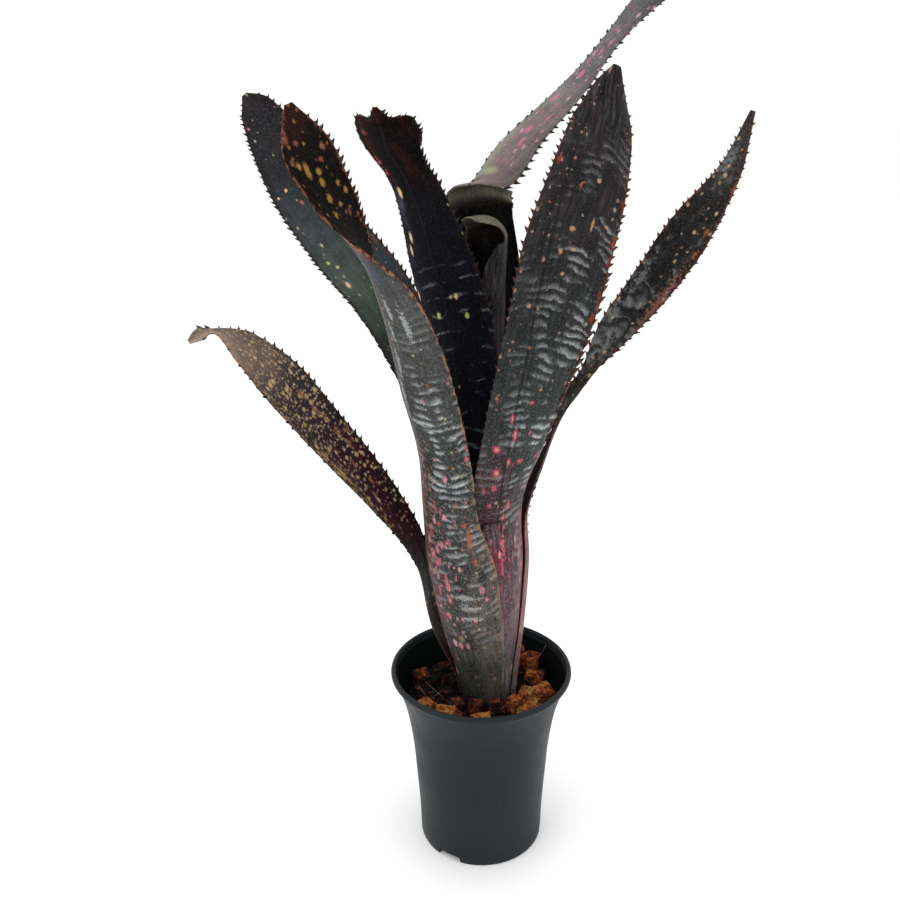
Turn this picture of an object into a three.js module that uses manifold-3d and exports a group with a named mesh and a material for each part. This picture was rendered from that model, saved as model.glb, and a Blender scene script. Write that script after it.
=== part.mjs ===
// A potted billbergia: a tank bromeliad with spined strap leaves, standing in husk chips in a
// flared plastic pot. Millimetres, +Z up, the origin on the table under the pot's own axis.
// The front, where the two big leaves meet, faces -Y.

import * as THREE from "three";
import { mergeVertices } from "three/addons/utils/BufferGeometryUtils.js";
import Module from "manifold-3d";

const wasm = await Module();
wasm.setup();

// Pot
const POT_HEIGHT = 130;
const RIM_RADIUS = 60;
const FOOT_RADIUS = 42;
const WALL = 1.6;
const FLOOR_UNDERSIDE = 6;
const FLOOR_TOP = 8;
const FLOOR_RADIUS = 39.8;
const FOOT_RING_WIDTH = 4;
const POT_SIDES = 48;
// Outer wall from the foot to the underside of the rim bead: [radius, height]
const POT_WALL = [[42.7, 24], [44.4, 50], [46.4, 76], [50, 100], [53.4, 113], [57.6, 124.8]];
const BEAD_DROP = 4.6;
const BEAD_DEPTH = 3.4;
// How far the bead's and the foot's corners are eased
const BEAD_EASE = { under: 1.2, over: 1.4, top: 0.2 };
const FOOT_EASE = 1;
const FOOT_NOTCH = { count: 3, width: 17, height: 4.6, first: 237, slope: 3, ease: 0.6, shoulder: 2.5 };
const DRAIN = { count: 6, radius: 4.5, ring: 24, sides: 12 };

// Husk chips and what they lie on
const CLEARANCE = 0.3;
const SUBSTRATE_TOP = 108;
const SUBSTRATE_DISH = 3;
const STEM_HOLE = { radius: 20.7, offset: 0.9, towards: 158, floor: 60, sides: 28 };
const CHIP = { count: 36, seed: 7, length: [10, 19], width: [8, 13], height: [6, 9] };
const CHIP_TILT = 0.7;
const CHIP_TURN = 2.4;

// Stem that the sheaths grow from: [radius, height]
const STEM = [[8, 60.3], [8.2, 88], [6.9, 102], [5.8, 114], [3.4, 120]];
const STEM_SIDES = 16;

// Tube of sheaths above the substrate: [height, axis x, axis y, outer radius]
const TUBE = [
  [100, 6.3, 8, 17.4],
  [112, 5.9, 8, 18.9],
  [130, 4, 7, 21.5],
  [158, 2, 5, 26.4],
  [205, -1, 3, 32],
  [250, -3, 1, 33],
  [285, -4, 0, 33],
];
// Distance from one layer of sheath to the next: at least the first, and this share of the tube
const LAYER_PITCH = { least: 1.9, share: 0.07 };

// Leaf blades
const LEAF_THICKNESS = 1.2;
const MARGIN_THICKNESS = 0.8;
const STATION_PITCH = 15;
const LINES_ACROSS = 7;
const LENGTH_DIVISIONS = 400;
const SPINE = { pitch: 8.5, base: 2.6, reach: 2.6, lean: 1.8 };

// Points nearer than this are one point
const WELD = 1e-4;
// Roughness of each material's surface
const ROUGHNESS = { leaf: 0.45, stem: 0.8, pot: 0.4, husk: 0.9 };

const rad = THREE.MathUtils.degToRad;

// Repeatable random numbers from 0 to 1
function seeded(seed) {
  let state = seed;
  return () => {
    state = (state * 1664525 + 1013904223) % 4294967296;
    return state / 4294967296;
  };
}

// Value of a table's column at a height, straight between its rows
function atHeight(table, z, column) {
  const last = table.length - 1;
  const i = Math.min(Math.max(table.findIndex((row) => row[0] > z) - 1, 0), last - 1);
  const j = z >= table[last][0] ? last - 1 : i;
  const part = (z - table[j][0]) / (table[j + 1][0] - table[j][0]);
  return THREE.MathUtils.lerp(table[j][column], table[j + 1][column], THREE.MathUtils.clamp(part, 0, 1));
}

// Rows of a sheath: it wraps the tube at its layer, its midrib away from the side that it faces
function sheath(layer, facing, spans) {
  return spans.map(([z, span, turn = 0]) => {
    const outer = atHeight(TUBE, z, 3);
    const radius = outer - layer * Math.max(LAYER_PITCH.least, LAYER_PITCH.share * outer);
    const angle = rad(facing + turn);
    const x = atHeight(TUBE, z, 1) - radius * Math.cos(angle);
    const y = atHeight(TUBE, z, 2) - radius * Math.sin(angle);
    return [x, y, z, radius * rad(span), span, facing + turn, 0];
  });
}

// Each leaf is a list of rows from its foot to its tip:
// [x, y, z of the midrib, flat width, angle that the section curls through, azimuth and
// elevation of the direction that its upper side faces]. Its spines start at a share of its length.
// A tightly rolled leaf has more lines across.
const LEAVES = {
  leaf_front_left: {
    colour: 0x474a49,
    spinesFrom: 0.46,
    rows: [
      ...sheath(-0.2, 40, [[101, 146], [125, 148, 1], [158, 145, 1], [205, 138, 0], [245, 115, -5]]),
      [-31, -30, 285, 54, 114, 44, 0],
      [-37, -48, 325, 50, 112, 50, 0],
      [-43, -62, 360, 45, 110, 48, 0],
      [-52, -76, 392, 40, 105, 34, 20],
      [-65, -85, 420, 33, 95, -6, 20],
      [-76, -90, 444, 28, 70, -44, 10],
      [-84, -89, 465, 23, 50, -76, 0],
      [-91, -86, 483, 4, 40, -86, 0],
    ],
  },
  leaf_front_right: {
    colour: 0x35383a,
    spinesFrom: 0.42,
    rows: [
      ...sheath(2, 130, [[101, 150], [125, 140], [158, 130], [205, 120], [245, 105]]),
      [20, -36, 290, 46, 90, 112, 0],
      [26, -46, 330, 44, 66, 104, 0],
      [36, -46, 368, 48, 50, 98, 0],
      [46, -38, 408, 50.5, 44, 96, 0],
      [59, -22, 445, 46, 44, 98, 0],
      [67.5, -4, 471, 38, 50, 102, 0],
      [72, 8, 491, 19, 60, 104, 0],
      [75, 12, 501, 5, 60, 104, 0],
    ],
  },
  leaf_left: {
    colour: 0x3a2226,
    spinesFrom: 0.24,
    rows: [
      ...sheath(-1, -22, [[104, 60], [125, 60]]),
      [-32, 12, 158, 22, 60, -10, 0],
      [-40, 8, 205, 25, 60, -16, 10],
      [-53.5, 0, 237, 26, 66, -30, 20],
      [-73, -10, 269, 34, 66, -36, 34],
      [-94.5, -22, 303, 36, 60, -40, 34],
      [-116, -32, 336, 35, 60, -44, 36],
      [-134, -38, 358, 23, 60, -50, 44],
      [-145.5, -43, 368, 4, 70, -60, 50],
      [-152.5, -45.5, 367, 8, 60, -66, 45],
      [-158.5, -48, 363.5, 2.5, 60, -70, 40],
    ],
  },
  leaf_right: {
    colour: 0x3c3736,
    spinesFrom: 0.3,
    rows: [
      ...sheath(0, 215, [[101, 120], [125, 110], [158, 100], [205, 90], [240, 76]]),
      [38, 14, 275, 34, 90, 200, 0],
      [51, 14, 304, 20, 60, 192, 0],
      [64.5, 16, 325, 9, 50, 218, 0],
      [80, 18, 350, 20, 34, 256, 20],
      [102, 18, 379, 26, 30, 250, 20],
      [121, 12, 411, 27, 34, 246, 20],
      [138.5, 2, 445, 14, 40, 240, 10],
      [146.5, -4, 477, 3, 40, 230, 0],
    ],
  },
  leaf_back_left: {
    colour: 0x39413b,
    spinesFrom: 0.44,
    rows: [
      ...sheath(2, -35, [[101, 120], [125, 120], [158, 118], [205, 116], [245, 108]]),
      [-30, 26, 292, 48, 90, -44, 0],
      [-45, 42, 333, 48, 84, -50, 0],
      [-65, 56, 370, 46, 70, -56, 0],
      [-91, 68, 402, 44, 56, -60, 0],
      [-113, 78, 434, 42, 50, -64, 0],
      [-129, 86, 464, 34, 50, -66, 0],
      [-139, 90, 481, 22, 50, -66, 0],
      [-146, 92, 489, 4, 50, -66, 0],
    ],
  },
  leaf_centre: {
    colour: 0x1b1a26,
    spinesFrom: 0.6,
    rows: [
      ...sheath(4, 60, [[103, 200], [125, 190], [158, 170], [205, 150], [245, 140]]),
      [-11, -20, 285, 50, 130, 62, 0],
      [-13, -12, 325, 49, 110, 66, 0],
      [-17.5, -4, 365, 48, 100, 70, 0],
      [-28, 4, 405, 40, 90, 72, 0],
      [-37, 9, 434, 31, 84, 74, 10],
      [-44, 8, 448, 28, 80, 74, 24],
      [-51.4, 2, 461, 39, 80, 74, 44],
      [-53.5, -5, 471, 36, 80, 74, 64],
      [-55, -12, 474, 14, 80, 74, 80],
      [-56.5, -17, 481, 2.5, 60, 74, 70],
    ],
  },
  leaf_back_right: {
    colour: 0x6b6566,
    spinesFrom: 0.5,
    rows: [
      ...sheath(3, 235, [[103, 130], [125, 130], [158, 130], [205, 130], [245, 125]]),
      [18, 26, 290, 50, 130, 232, 0],
      [16, 36, 340, 50, 130, 236, 0],
      [12, 44, 390, 48, 130, 244, 0],
      [2, 50, 424, 46, 100, 262, -20],
      [1, 43, 438, 41, 80, 272, -80],
      [11, 49, 446, 34, 70, 60, -66],
      [27, 62, 463, 28, 50, 66, -56],
      [59, 75, 491, 17, 40, 69, -44],
      [83, 85, 519, 12, 40, 72, -37],
      [104, 91, 541, 15, 50, 87, -25],
      [125, 96, 557, 19, 60, 105, 5],
      [144, 100, 565, 14, 60, 115, 50],
      [160, 102, 564, 4, 60, 110, 70],
    ],
  },
  leaf_inner: {
    colour: 0x54514f,
    spinesFrom: 1,
    linesAcross: 11,
    rows: [
      ...sheath(5, 230, [[105, 260], [125, 260], [158, 230], [205, 200]]),
      [10, 14, 260, 48, 220, 228, 0],
      [10, 21, 320, 58, 300, 236, 0],
      [9, 25, 365, 64, 335, 240, 0],
      [9.3, 26.5, 388, 62, 325, 240, 0],
      [9.6, 27.2, 402, 53, 265, 240, 0],
      [8.5, 26, 412, 44, 195, 240, -12],
      [3, 20, 420, 34, 130, 240, -50],
      [-7, 10, 421, 12, 80, 240, -80],
    ],
  },
  sheath_stub: {
    colour: 0x6a4a50,
    spinesFrom: 1,
    rows: [...sheath(1, 107, [[101, 62], [125, 62], [158, 60], [205, 56], [236, 46], [246, 20]])],
  },
};

// Triangles between two lines that share their ends, each advanced by its own stations
function zip(lineA, lineB, emit) {
  let i = 0;
  let j = 0;
  while (i < lineA.length - 1 || j < lineB.length - 1) {
    const nextA = i < lineA.length - 1 ? lineA[i + 1].t : Infinity;
    const nextB = j < lineB.length - 1 ? lineB[j + 1].t : Infinity;
    if (nextA <= nextB) {
      emit(lineA[i].index, lineA[i + 1].index, lineB[j].index);
      i += 1;
    } else {
      emit(lineA[i].index, lineB[j + 1].index, lineB[j].index);
      j += 1;
    }
  }
}

// One leaf as a closed solid: lines run along it from foot to tip on both faces, and each margin
// carries a row of forward-leaning spines
function leafGeometry({ rows, spinesFrom, linesAcross = LINES_ACROSS }) {
  const route = new THREE.CatmullRomCurve3(rows.map(([x, y, z]) => new THREE.Vector3(x, y, z)));
  const form = new THREE.CatmullRomCurve3(
    rows.map((row) => new THREE.Vector3(row[3], row[4], 0)), false, "catmullrom", 0.5);
  const faces = new THREE.CatmullRomCurve3(
    rows.map(([, , , , , azimuth, elevation]) => new THREE.Vector3(
      Math.cos(rad(azimuth)) * Math.cos(rad(elevation)),
      Math.sin(rad(azimuth)) * Math.cos(rad(elevation)),
      Math.sin(rad(elevation)))), false, "catmullrom", 0.5);
  route.arcLengthDivisions = LENGTH_DIVISIONS;
  const length = route.getLength();
  const vertices = [];
  const triangles = [];

  // Point at a fraction of the length, a place across from -1 to 1, and a side of the blade
  function pointAt(fraction, across, side, extra = 0) {
    const t = route.getUtoTmapping(fraction);
    const along = route.getTangent(t);
    const facing = faces.getPoint(t);
    facing.addScaledVector(along, -facing.dot(along)).normalize();
    const sideways = new THREE.Vector3().crossVectors(along, facing);
    const { x: width, y: curl } = form.getPoint(t);
    const radius = width / rad(curl);
    const angle = (across * rad(curl)) / 2 + extra / radius;
    const thickness = THREE.MathUtils.lerp(LEAF_THICKNESS, MARGIN_THICKNESS, Math.abs(across));
    const reach = radius - (side * thickness) / 2;
    return route.getPoint(t)
      .addScaledVector(facing, radius - reach * Math.cos(angle))
      .addScaledVector(sideways, reach * Math.sin(angle));
  }

  function addVertex(point) {
    vertices.push(point.x, point.y, point.z);
    return vertices.length / 3 - 1;
  }

  const stations = Math.round(length / STATION_PITCH);
  const plainStations = Array.from({ length: stations + 1 }, (_, i) => i / stations);
  const spines = Math.max(0, Math.floor(((1 - spinesFrom) * length - SPINE.base) / SPINE.pitch));
  const firstSpine = 1 - (spines * SPINE.pitch) / length;
  const marginStations = plainStations.filter((t) => t < firstSpine || t === 1);
  for (let i = 0; i < spines; i += 1) {
    const foot = firstSpine + (i * SPINE.pitch) / length;
    marginStations.push(foot, foot + SPINE.base / length);
  }
  marginStations.sort((a, b) => a - b);

  const lines = [1, -1].map((side) => Array.from({ length: linesAcross }, (_, k) => {
    const across = (2 * k) / (linesAcross - 1) - 1;
    const isMargin = k === 0 || k === linesAcross - 1;
    return (isMargin ? marginStations : plainStations)
      .map((t) => ({ t, index: addVertex(pointAt(t, across, side)) }));
  }));
  const [upper, lower] = lines;
  for (let k = 0; k < linesAcross - 1; k += 1) {
    zip(upper[k], upper[k + 1], (a, b, c) => triangles.push(a, b, c));
    zip(lower[k], lower[k + 1], (a, b, c) => triangles.push(a, c, b));
  }
  // The two margins, with a spine between each pair of close stations
  for (const k of [0, linesAcross - 1]) {
    const out = k === 0 ? -1 : 1;
    const order = (a, b, c) => (out > 0 ? triangles.push(a, b, c) : triangles.push(a, c, b));
    for (let i = 0; i < upper[k].length - 1; i += 1) {
      const here = upper[k][i];
      const next = upper[k][i + 1];
      const corners = [here.index, next.index, lower[k][i + 1].index, lower[k][i].index];
      const gap = (next.t - here.t) * length;
      if (here.t >= firstSpine && Math.abs(gap - SPINE.base) < WELD) {
        const tip = addVertex(pointAt(here.t + SPINE.lean / length, out, 0, out * SPINE.reach));
        corners.forEach((corner, c) => order(corner, corners[(c + 1) % 4], tip));
      } else {
        order(corners[0], corners[1], corners[2]);
        order(corners[0], corners[2], corners[3]);
      }
    }
  }
  // The foot and the tip are closed across the blade's thickness
  for (let k = 0; k < linesAcross - 1; k += 1) {
    const foot = [upper[k][0], upper[k + 1][0], lower[k + 1][0], lower[k][0]].map((v) => v.index);
    triangles.push(foot[0], foot[1], foot[2], foot[0], foot[2], foot[3]);
    const tip = [upper[k], upper[k + 1], lower[k + 1], lower[k]].map((line) => line.at(-1).index);
    triangles.push(tip[0], tip[2], tip[1], tip[0], tip[3], tip[2]);
  }
  return closedGeometry(vertices, triangles);
}

// A geometry from points and triangles, turned so that its faces point out
function closedGeometry(vertices, triangles) {
  let volume = 0;
  const [a, b, c] = [new THREE.Vector3(), new THREE.Vector3(), new THREE.Vector3()];
  for (let i = 0; i < triangles.length; i += 3) {
    a.fromArray(vertices, 3 * triangles[i]);
    b.fromArray(vertices, 3 * triangles[i + 1]);
    c.fromArray(vertices, 3 * triangles[i + 2]);
    volume += a.dot(b.cross(c));
  }
  if (volume < 0) triangles.reverse();
  const geometry = new THREE.BufferGeometry();
  geometry.setAttribute("position", new THREE.Float32BufferAttribute(vertices, 3));
  geometry.setIndex(triangles);
  return geometry;
}

// Booleans
function solid(geometry, matrix = new THREE.Matrix4()) {
  const bare = geometry.clone().applyMatrix4(matrix);
  bare.deleteAttribute("normal");
  bare.deleteAttribute("uv");
  const merged = mergeVertices(bare, WELD);
  return new wasm.Manifold(new wasm.Mesh({
    numProp: 3,
    vertProperties: new Float32Array(merged.attributes.position.array),
    triVerts: new Uint32Array(merged.index.array),
  }));
}

function geometryOf(manifold) {
  const mesh = manifold.getMesh();
  const geometry = new THREE.BufferGeometry();
  geometry.setAttribute("position", new THREE.BufferAttribute(new Float32Array(mesh.vertProperties), 3));
  geometry.setIndex(new THREE.BufferAttribute(new Uint32Array(mesh.triVerts), 1));
  return geometry;
}

// A profile of [radius, height] turned about the vertical axis
function turned(profile, sides) {
  const points = profile.map(([r, z]) => new THREE.Vector2(r, z));
  return new THREE.LatheGeometry(points, sides).rotateX(Math.PI / 2);
}

function placed(x, y, z, turn = 0) {
  return new THREE.Matrix4().makeRotationZ(rad(turn)).setPosition(x, y, z);
}

// Pot: flared wall with a rolled bead, raised floor with drain holes, and a notched foot ring
function potGeometry() {
  const beadBottom = POT_HEIGHT - BEAD_DROP;
  const innerWall = POT_WALL.map(([r, z]) => [r - WALL, z]).reverse();
  const profile = [
    [0, FLOOR_UNDERSIDE],
    [FOOT_RADIUS - FOOT_RING_WIDTH, FLOOR_UNDERSIDE],
    [FOOT_RADIUS - FOOT_RING_WIDTH + FOOT_EASE, 0],
    [FOOT_RADIUS - FOOT_EASE, 0],
    [FOOT_RADIUS, FOOT_EASE],
    ...POT_WALL,
    [RIM_RADIUS - BEAD_EASE.under, beadBottom],
    [RIM_RADIUS, beadBottom + BEAD_EASE.under],
    [RIM_RADIUS, POT_HEIGHT - BEAD_EASE.over],
    [RIM_RADIUS - BEAD_DEPTH / 3, POT_HEIGHT - BEAD_EASE.top],
    [RIM_RADIUS - (2 * BEAD_DEPTH) / 3, POT_HEIGHT],
    [RIM_RADIUS - BEAD_DEPTH, POT_HEIGHT - BEAD_EASE.under],
    ...innerWall,
    [FLOOR_RADIUS, FLOOR_TOP],
    [0, FLOOR_TOP],
  ];
  let pot = solid(turned(profile, POT_SIDES));
  const notch = notchGeometry();
  for (let i = 0; i < FOOT_NOTCH.count; i += 1) {
    const azimuth = FOOT_NOTCH.first + (360 / FOOT_NOTCH.count) * i;
    pot = pot.subtract(solid(notch, placed(0, 0, 0, azimuth)));
  }
  const through = 3 * FLOOR_TOP;
  const hole = new THREE.CylinderGeometry(DRAIN.radius, DRAIN.radius, through, DRAIN.sides)
    .rotateX(Math.PI / 2);
  for (let i = 0; i < DRAIN.count; i += 1) {
    const angle = rad((360 / DRAIN.count) * i);
    pot = pot.subtract(solid(hole, placed(DRAIN.ring * Math.cos(angle), DRAIN.ring * Math.sin(angle), 0)));
  }
  return geometryOf(pot);
}

// A low arch cut through the foot ring, along +X
function notchGeometry() {
  const { height, slope, ease, shoulder } = FOOT_NOTCH;
  const half = FOOT_NOTCH.width / 2;
  const arch = new THREE.Shape();
  arch.moveTo(-half, -FOOT_EASE);
  arch.lineTo(half, -FOOT_EASE);
  arch.lineTo(half - ease, shoulder);
  arch.lineTo(half - slope, height);
  arch.lineTo(slope - half, height);
  arch.lineTo(ease - half, shoulder);
  const depth = 3 * FOOT_RING_WIDTH;
  return new THREE.ExtrudeGeometry(arch, { depth, bevelEnabled: false })
    .rotateX(Math.PI / 2)
    .rotateZ(Math.PI / 2)
    .translate(FOOT_RADIUS - 2 * FOOT_RING_WIDTH, 0, 0);
}

// Substrate: fills the pot to below the rim, with a plain hole for the plant and chips over its top
function substrateGeometry() {
  const wall = POT_WALL.map(([r, z]) => [r - WALL - CLEARANCE, z]);
  const edge = atHeight(wall.map(([r, z]) => [z, r]), SUBSTRATE_TOP, 1);
  const profile = [
    [0, FLOOR_TOP + CLEARANCE],
    [FLOOR_RADIUS - CLEARANCE, FLOOR_TOP + CLEARANCE],
    ...wall.filter(([, z]) => z < SUBSTRATE_TOP),
    [edge, SUBSTRATE_TOP],
    [0, SUBSTRATE_TOP - SUBSTRATE_DISH],
  ];
  let body = solid(turned(profile, POT_SIDES));
  const random = seeded(CHIP.seed);
  const between = ([low, high]) => low + (high - low) * random();
  for (let i = 0; i < CHIP.count; i += 1) {
    const size = [between(CHIP.length), between(CHIP.width), between(CHIP.height)];
    const inner = STEM_HOLE.radius + CHIP.width[0] / 2;
    const radius = inner + (edge - inner) * random();
    const angle = i * CHIP_TURN;
    const chip = new THREE.BoxGeometry(...size)
      .rotateX((random() - 0.5) * CHIP_TILT)
      .rotateY((random() - 0.5) * CHIP_TILT)
      .rotateZ(random() * Math.PI);
    body = body.add(solid(chip, placed(radius * Math.cos(angle), radius * Math.sin(angle), SUBSTRATE_TOP)));
  }
  const trimmed = body.subtract(plantHole()).subtract(outsideOfPot(wall));
  const pieces = trimmed.decompose().sort((a, b) => b.volume() - a.volume());
  return geometryOf(pieces[0]);
}

// Plain round hole that the stem and the feet of the sheaths stand in
function plantHole() {
  const { radius, offset, towards, floor, sides } = STEM_HOLE;
  const height = POT_HEIGHT - floor;
  const hole = new THREE.CylinderGeometry(radius, radius, height, sides).rotateX(Math.PI / 2);
  const x = atHeight(TUBE, SUBSTRATE_TOP, 1) + offset * Math.cos(rad(towards));
  const y = atHeight(TUBE, SUBSTRATE_TOP, 2) + offset * Math.sin(rad(towards));
  return solid(hole, placed(x, y, floor + height / 2));
}

// Ring outside the substrate's wall, which trims the chips that reach past it
function outsideOfPot(wall) {
  const [topRadius, topHeight] = wall.at(-1);
  const profile = [
    wall[0],
    [2 * RIM_RADIUS, wall[0][1]],
    [2 * RIM_RADIUS, 2 * POT_HEIGHT],
    [topRadius, 2 * POT_HEIGHT],
    [topRadius, topHeight],
    ...wall.slice(0, -1).reverse(),
  ];
  return solid(turned(profile, POT_SIDES));
}

function stemGeometry() {
  const [bottom, top] = [STEM[0][1], STEM.at(-1)[1]];
  const profile = [[0, bottom], ...STEM, [0, top]];
  return turned(profile, STEM_SIDES).translate(atHeight(TUBE, top, 1), atHeight(TUBE, top, 2), 0);
}

function part(name, geometry, color, roughness) {
  const material = new THREE.MeshStandardMaterial({ color, roughness, metalness: 0 });
  const mesh = new THREE.Mesh(geometry, material);
  mesh.name = name;
  return mesh;
}

const plant = new THREE.Group();
for (const [name, leaf] of Object.entries(LEAVES)) {
  plant.add(part(name, leafGeometry(leaf), leaf.colour, ROUGHNESS.leaf));
}
plant.add(part("stem", stemGeometry(), 0x7a6a4c, ROUGHNESS.stem));

const group = new THREE.Group();
group.add(part("pot", potGeometry(), 0x2b3032, ROUGHNESS.pot));
group.add(part("substrate", substrateGeometry(), 0x8a3a14, ROUGHNESS.husk));
group.add(plant);

export default group;
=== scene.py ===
# Looks of a potted billbergia: spotted, spined strap leaves in a tube, husk chips and a flared pot.
# Metres, +Z up, the origin on the table under the pot's axis. Lengths below are in millimetres
# where a name or a comment says so.

import math
import random

import bpy
from mathutils import Matrix, Vector, noise


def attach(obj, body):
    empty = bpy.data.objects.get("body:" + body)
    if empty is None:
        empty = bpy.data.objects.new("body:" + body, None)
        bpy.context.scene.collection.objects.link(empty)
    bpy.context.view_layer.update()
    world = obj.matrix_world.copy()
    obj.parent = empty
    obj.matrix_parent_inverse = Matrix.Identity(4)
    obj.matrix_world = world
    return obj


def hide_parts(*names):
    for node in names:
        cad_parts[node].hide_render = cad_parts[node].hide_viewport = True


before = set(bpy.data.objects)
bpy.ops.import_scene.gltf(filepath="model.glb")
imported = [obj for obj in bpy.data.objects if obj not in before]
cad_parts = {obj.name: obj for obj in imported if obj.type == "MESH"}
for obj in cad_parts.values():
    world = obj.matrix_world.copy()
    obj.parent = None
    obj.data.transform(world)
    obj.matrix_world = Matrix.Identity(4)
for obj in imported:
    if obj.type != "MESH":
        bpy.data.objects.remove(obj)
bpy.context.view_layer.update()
MM = 0.001

# Camera, at the place and angle that the pot's ellipses give
CAMERA_PLACE = (-0.019, -0.547, 0.482)
CAMERA_LENS = 38.0
CAMERA_PITCH = 20.0
CAMERA_ROLL = -0.65

# Tube of sheaths above the chips, in mm: height, axis x, axis y, outer radius
TUBE = [
    (100, 6.3, 8, 17.4),
    (112, 5.9, 8, 18.9),
    (130, 4, 7, 21.5),
    (158, 2, 5, 26.4),
    (205, -1, 3, 32),
    (250, -3, 1, 33),
    (285, -4, 0, 33),
]
# Each sheath lies this far inside the last: a share of the tube's radius, and at least this in mm
LAYER_SHARE = 0.07
LAYER_LEAST = 1.9

# Blades: thickness at the midrib in mm, the margin's share of it, mm between stations, quads across
LEAF_THICKNESS = 1.15
MARGIN_SHARE = 0.6
STATION_PITCH = 1.6
LINES_ACROSS = 28


def at_height(table, z, column):
    """A column of a table at a height, straight between its rows."""
    upper = next((i for i, row in enumerate(table) if row[0] > z), len(table) - 1)
    upper = max(upper, 1)
    low, high = table[upper - 1], table[upper]
    part = min(max((z - low[0]) / (high[0] - low[0]), 0), 1)
    return low[column] + (high[column] - low[column]) * part


def sheath(layer, facing, spans):
    """Rows of a sheath, which wraps the tube at its layer with its midrib away from its facing."""
    rows = []
    for z, span, *turn in spans:
        outer = at_height(TUBE, z, 3)
        radius = outer - layer * max(LAYER_LEAST, LAYER_SHARE * outer)
        angle = facing + sum(turn)
        x = at_height(TUBE, z, 1) - radius * math.cos(math.radians(angle))
        y = at_height(TUBE, z, 2) - radius * math.sin(math.radians(angle))
        rows.append((x, y, z, radius * math.radians(span), span, angle, 0))
    return rows


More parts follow.
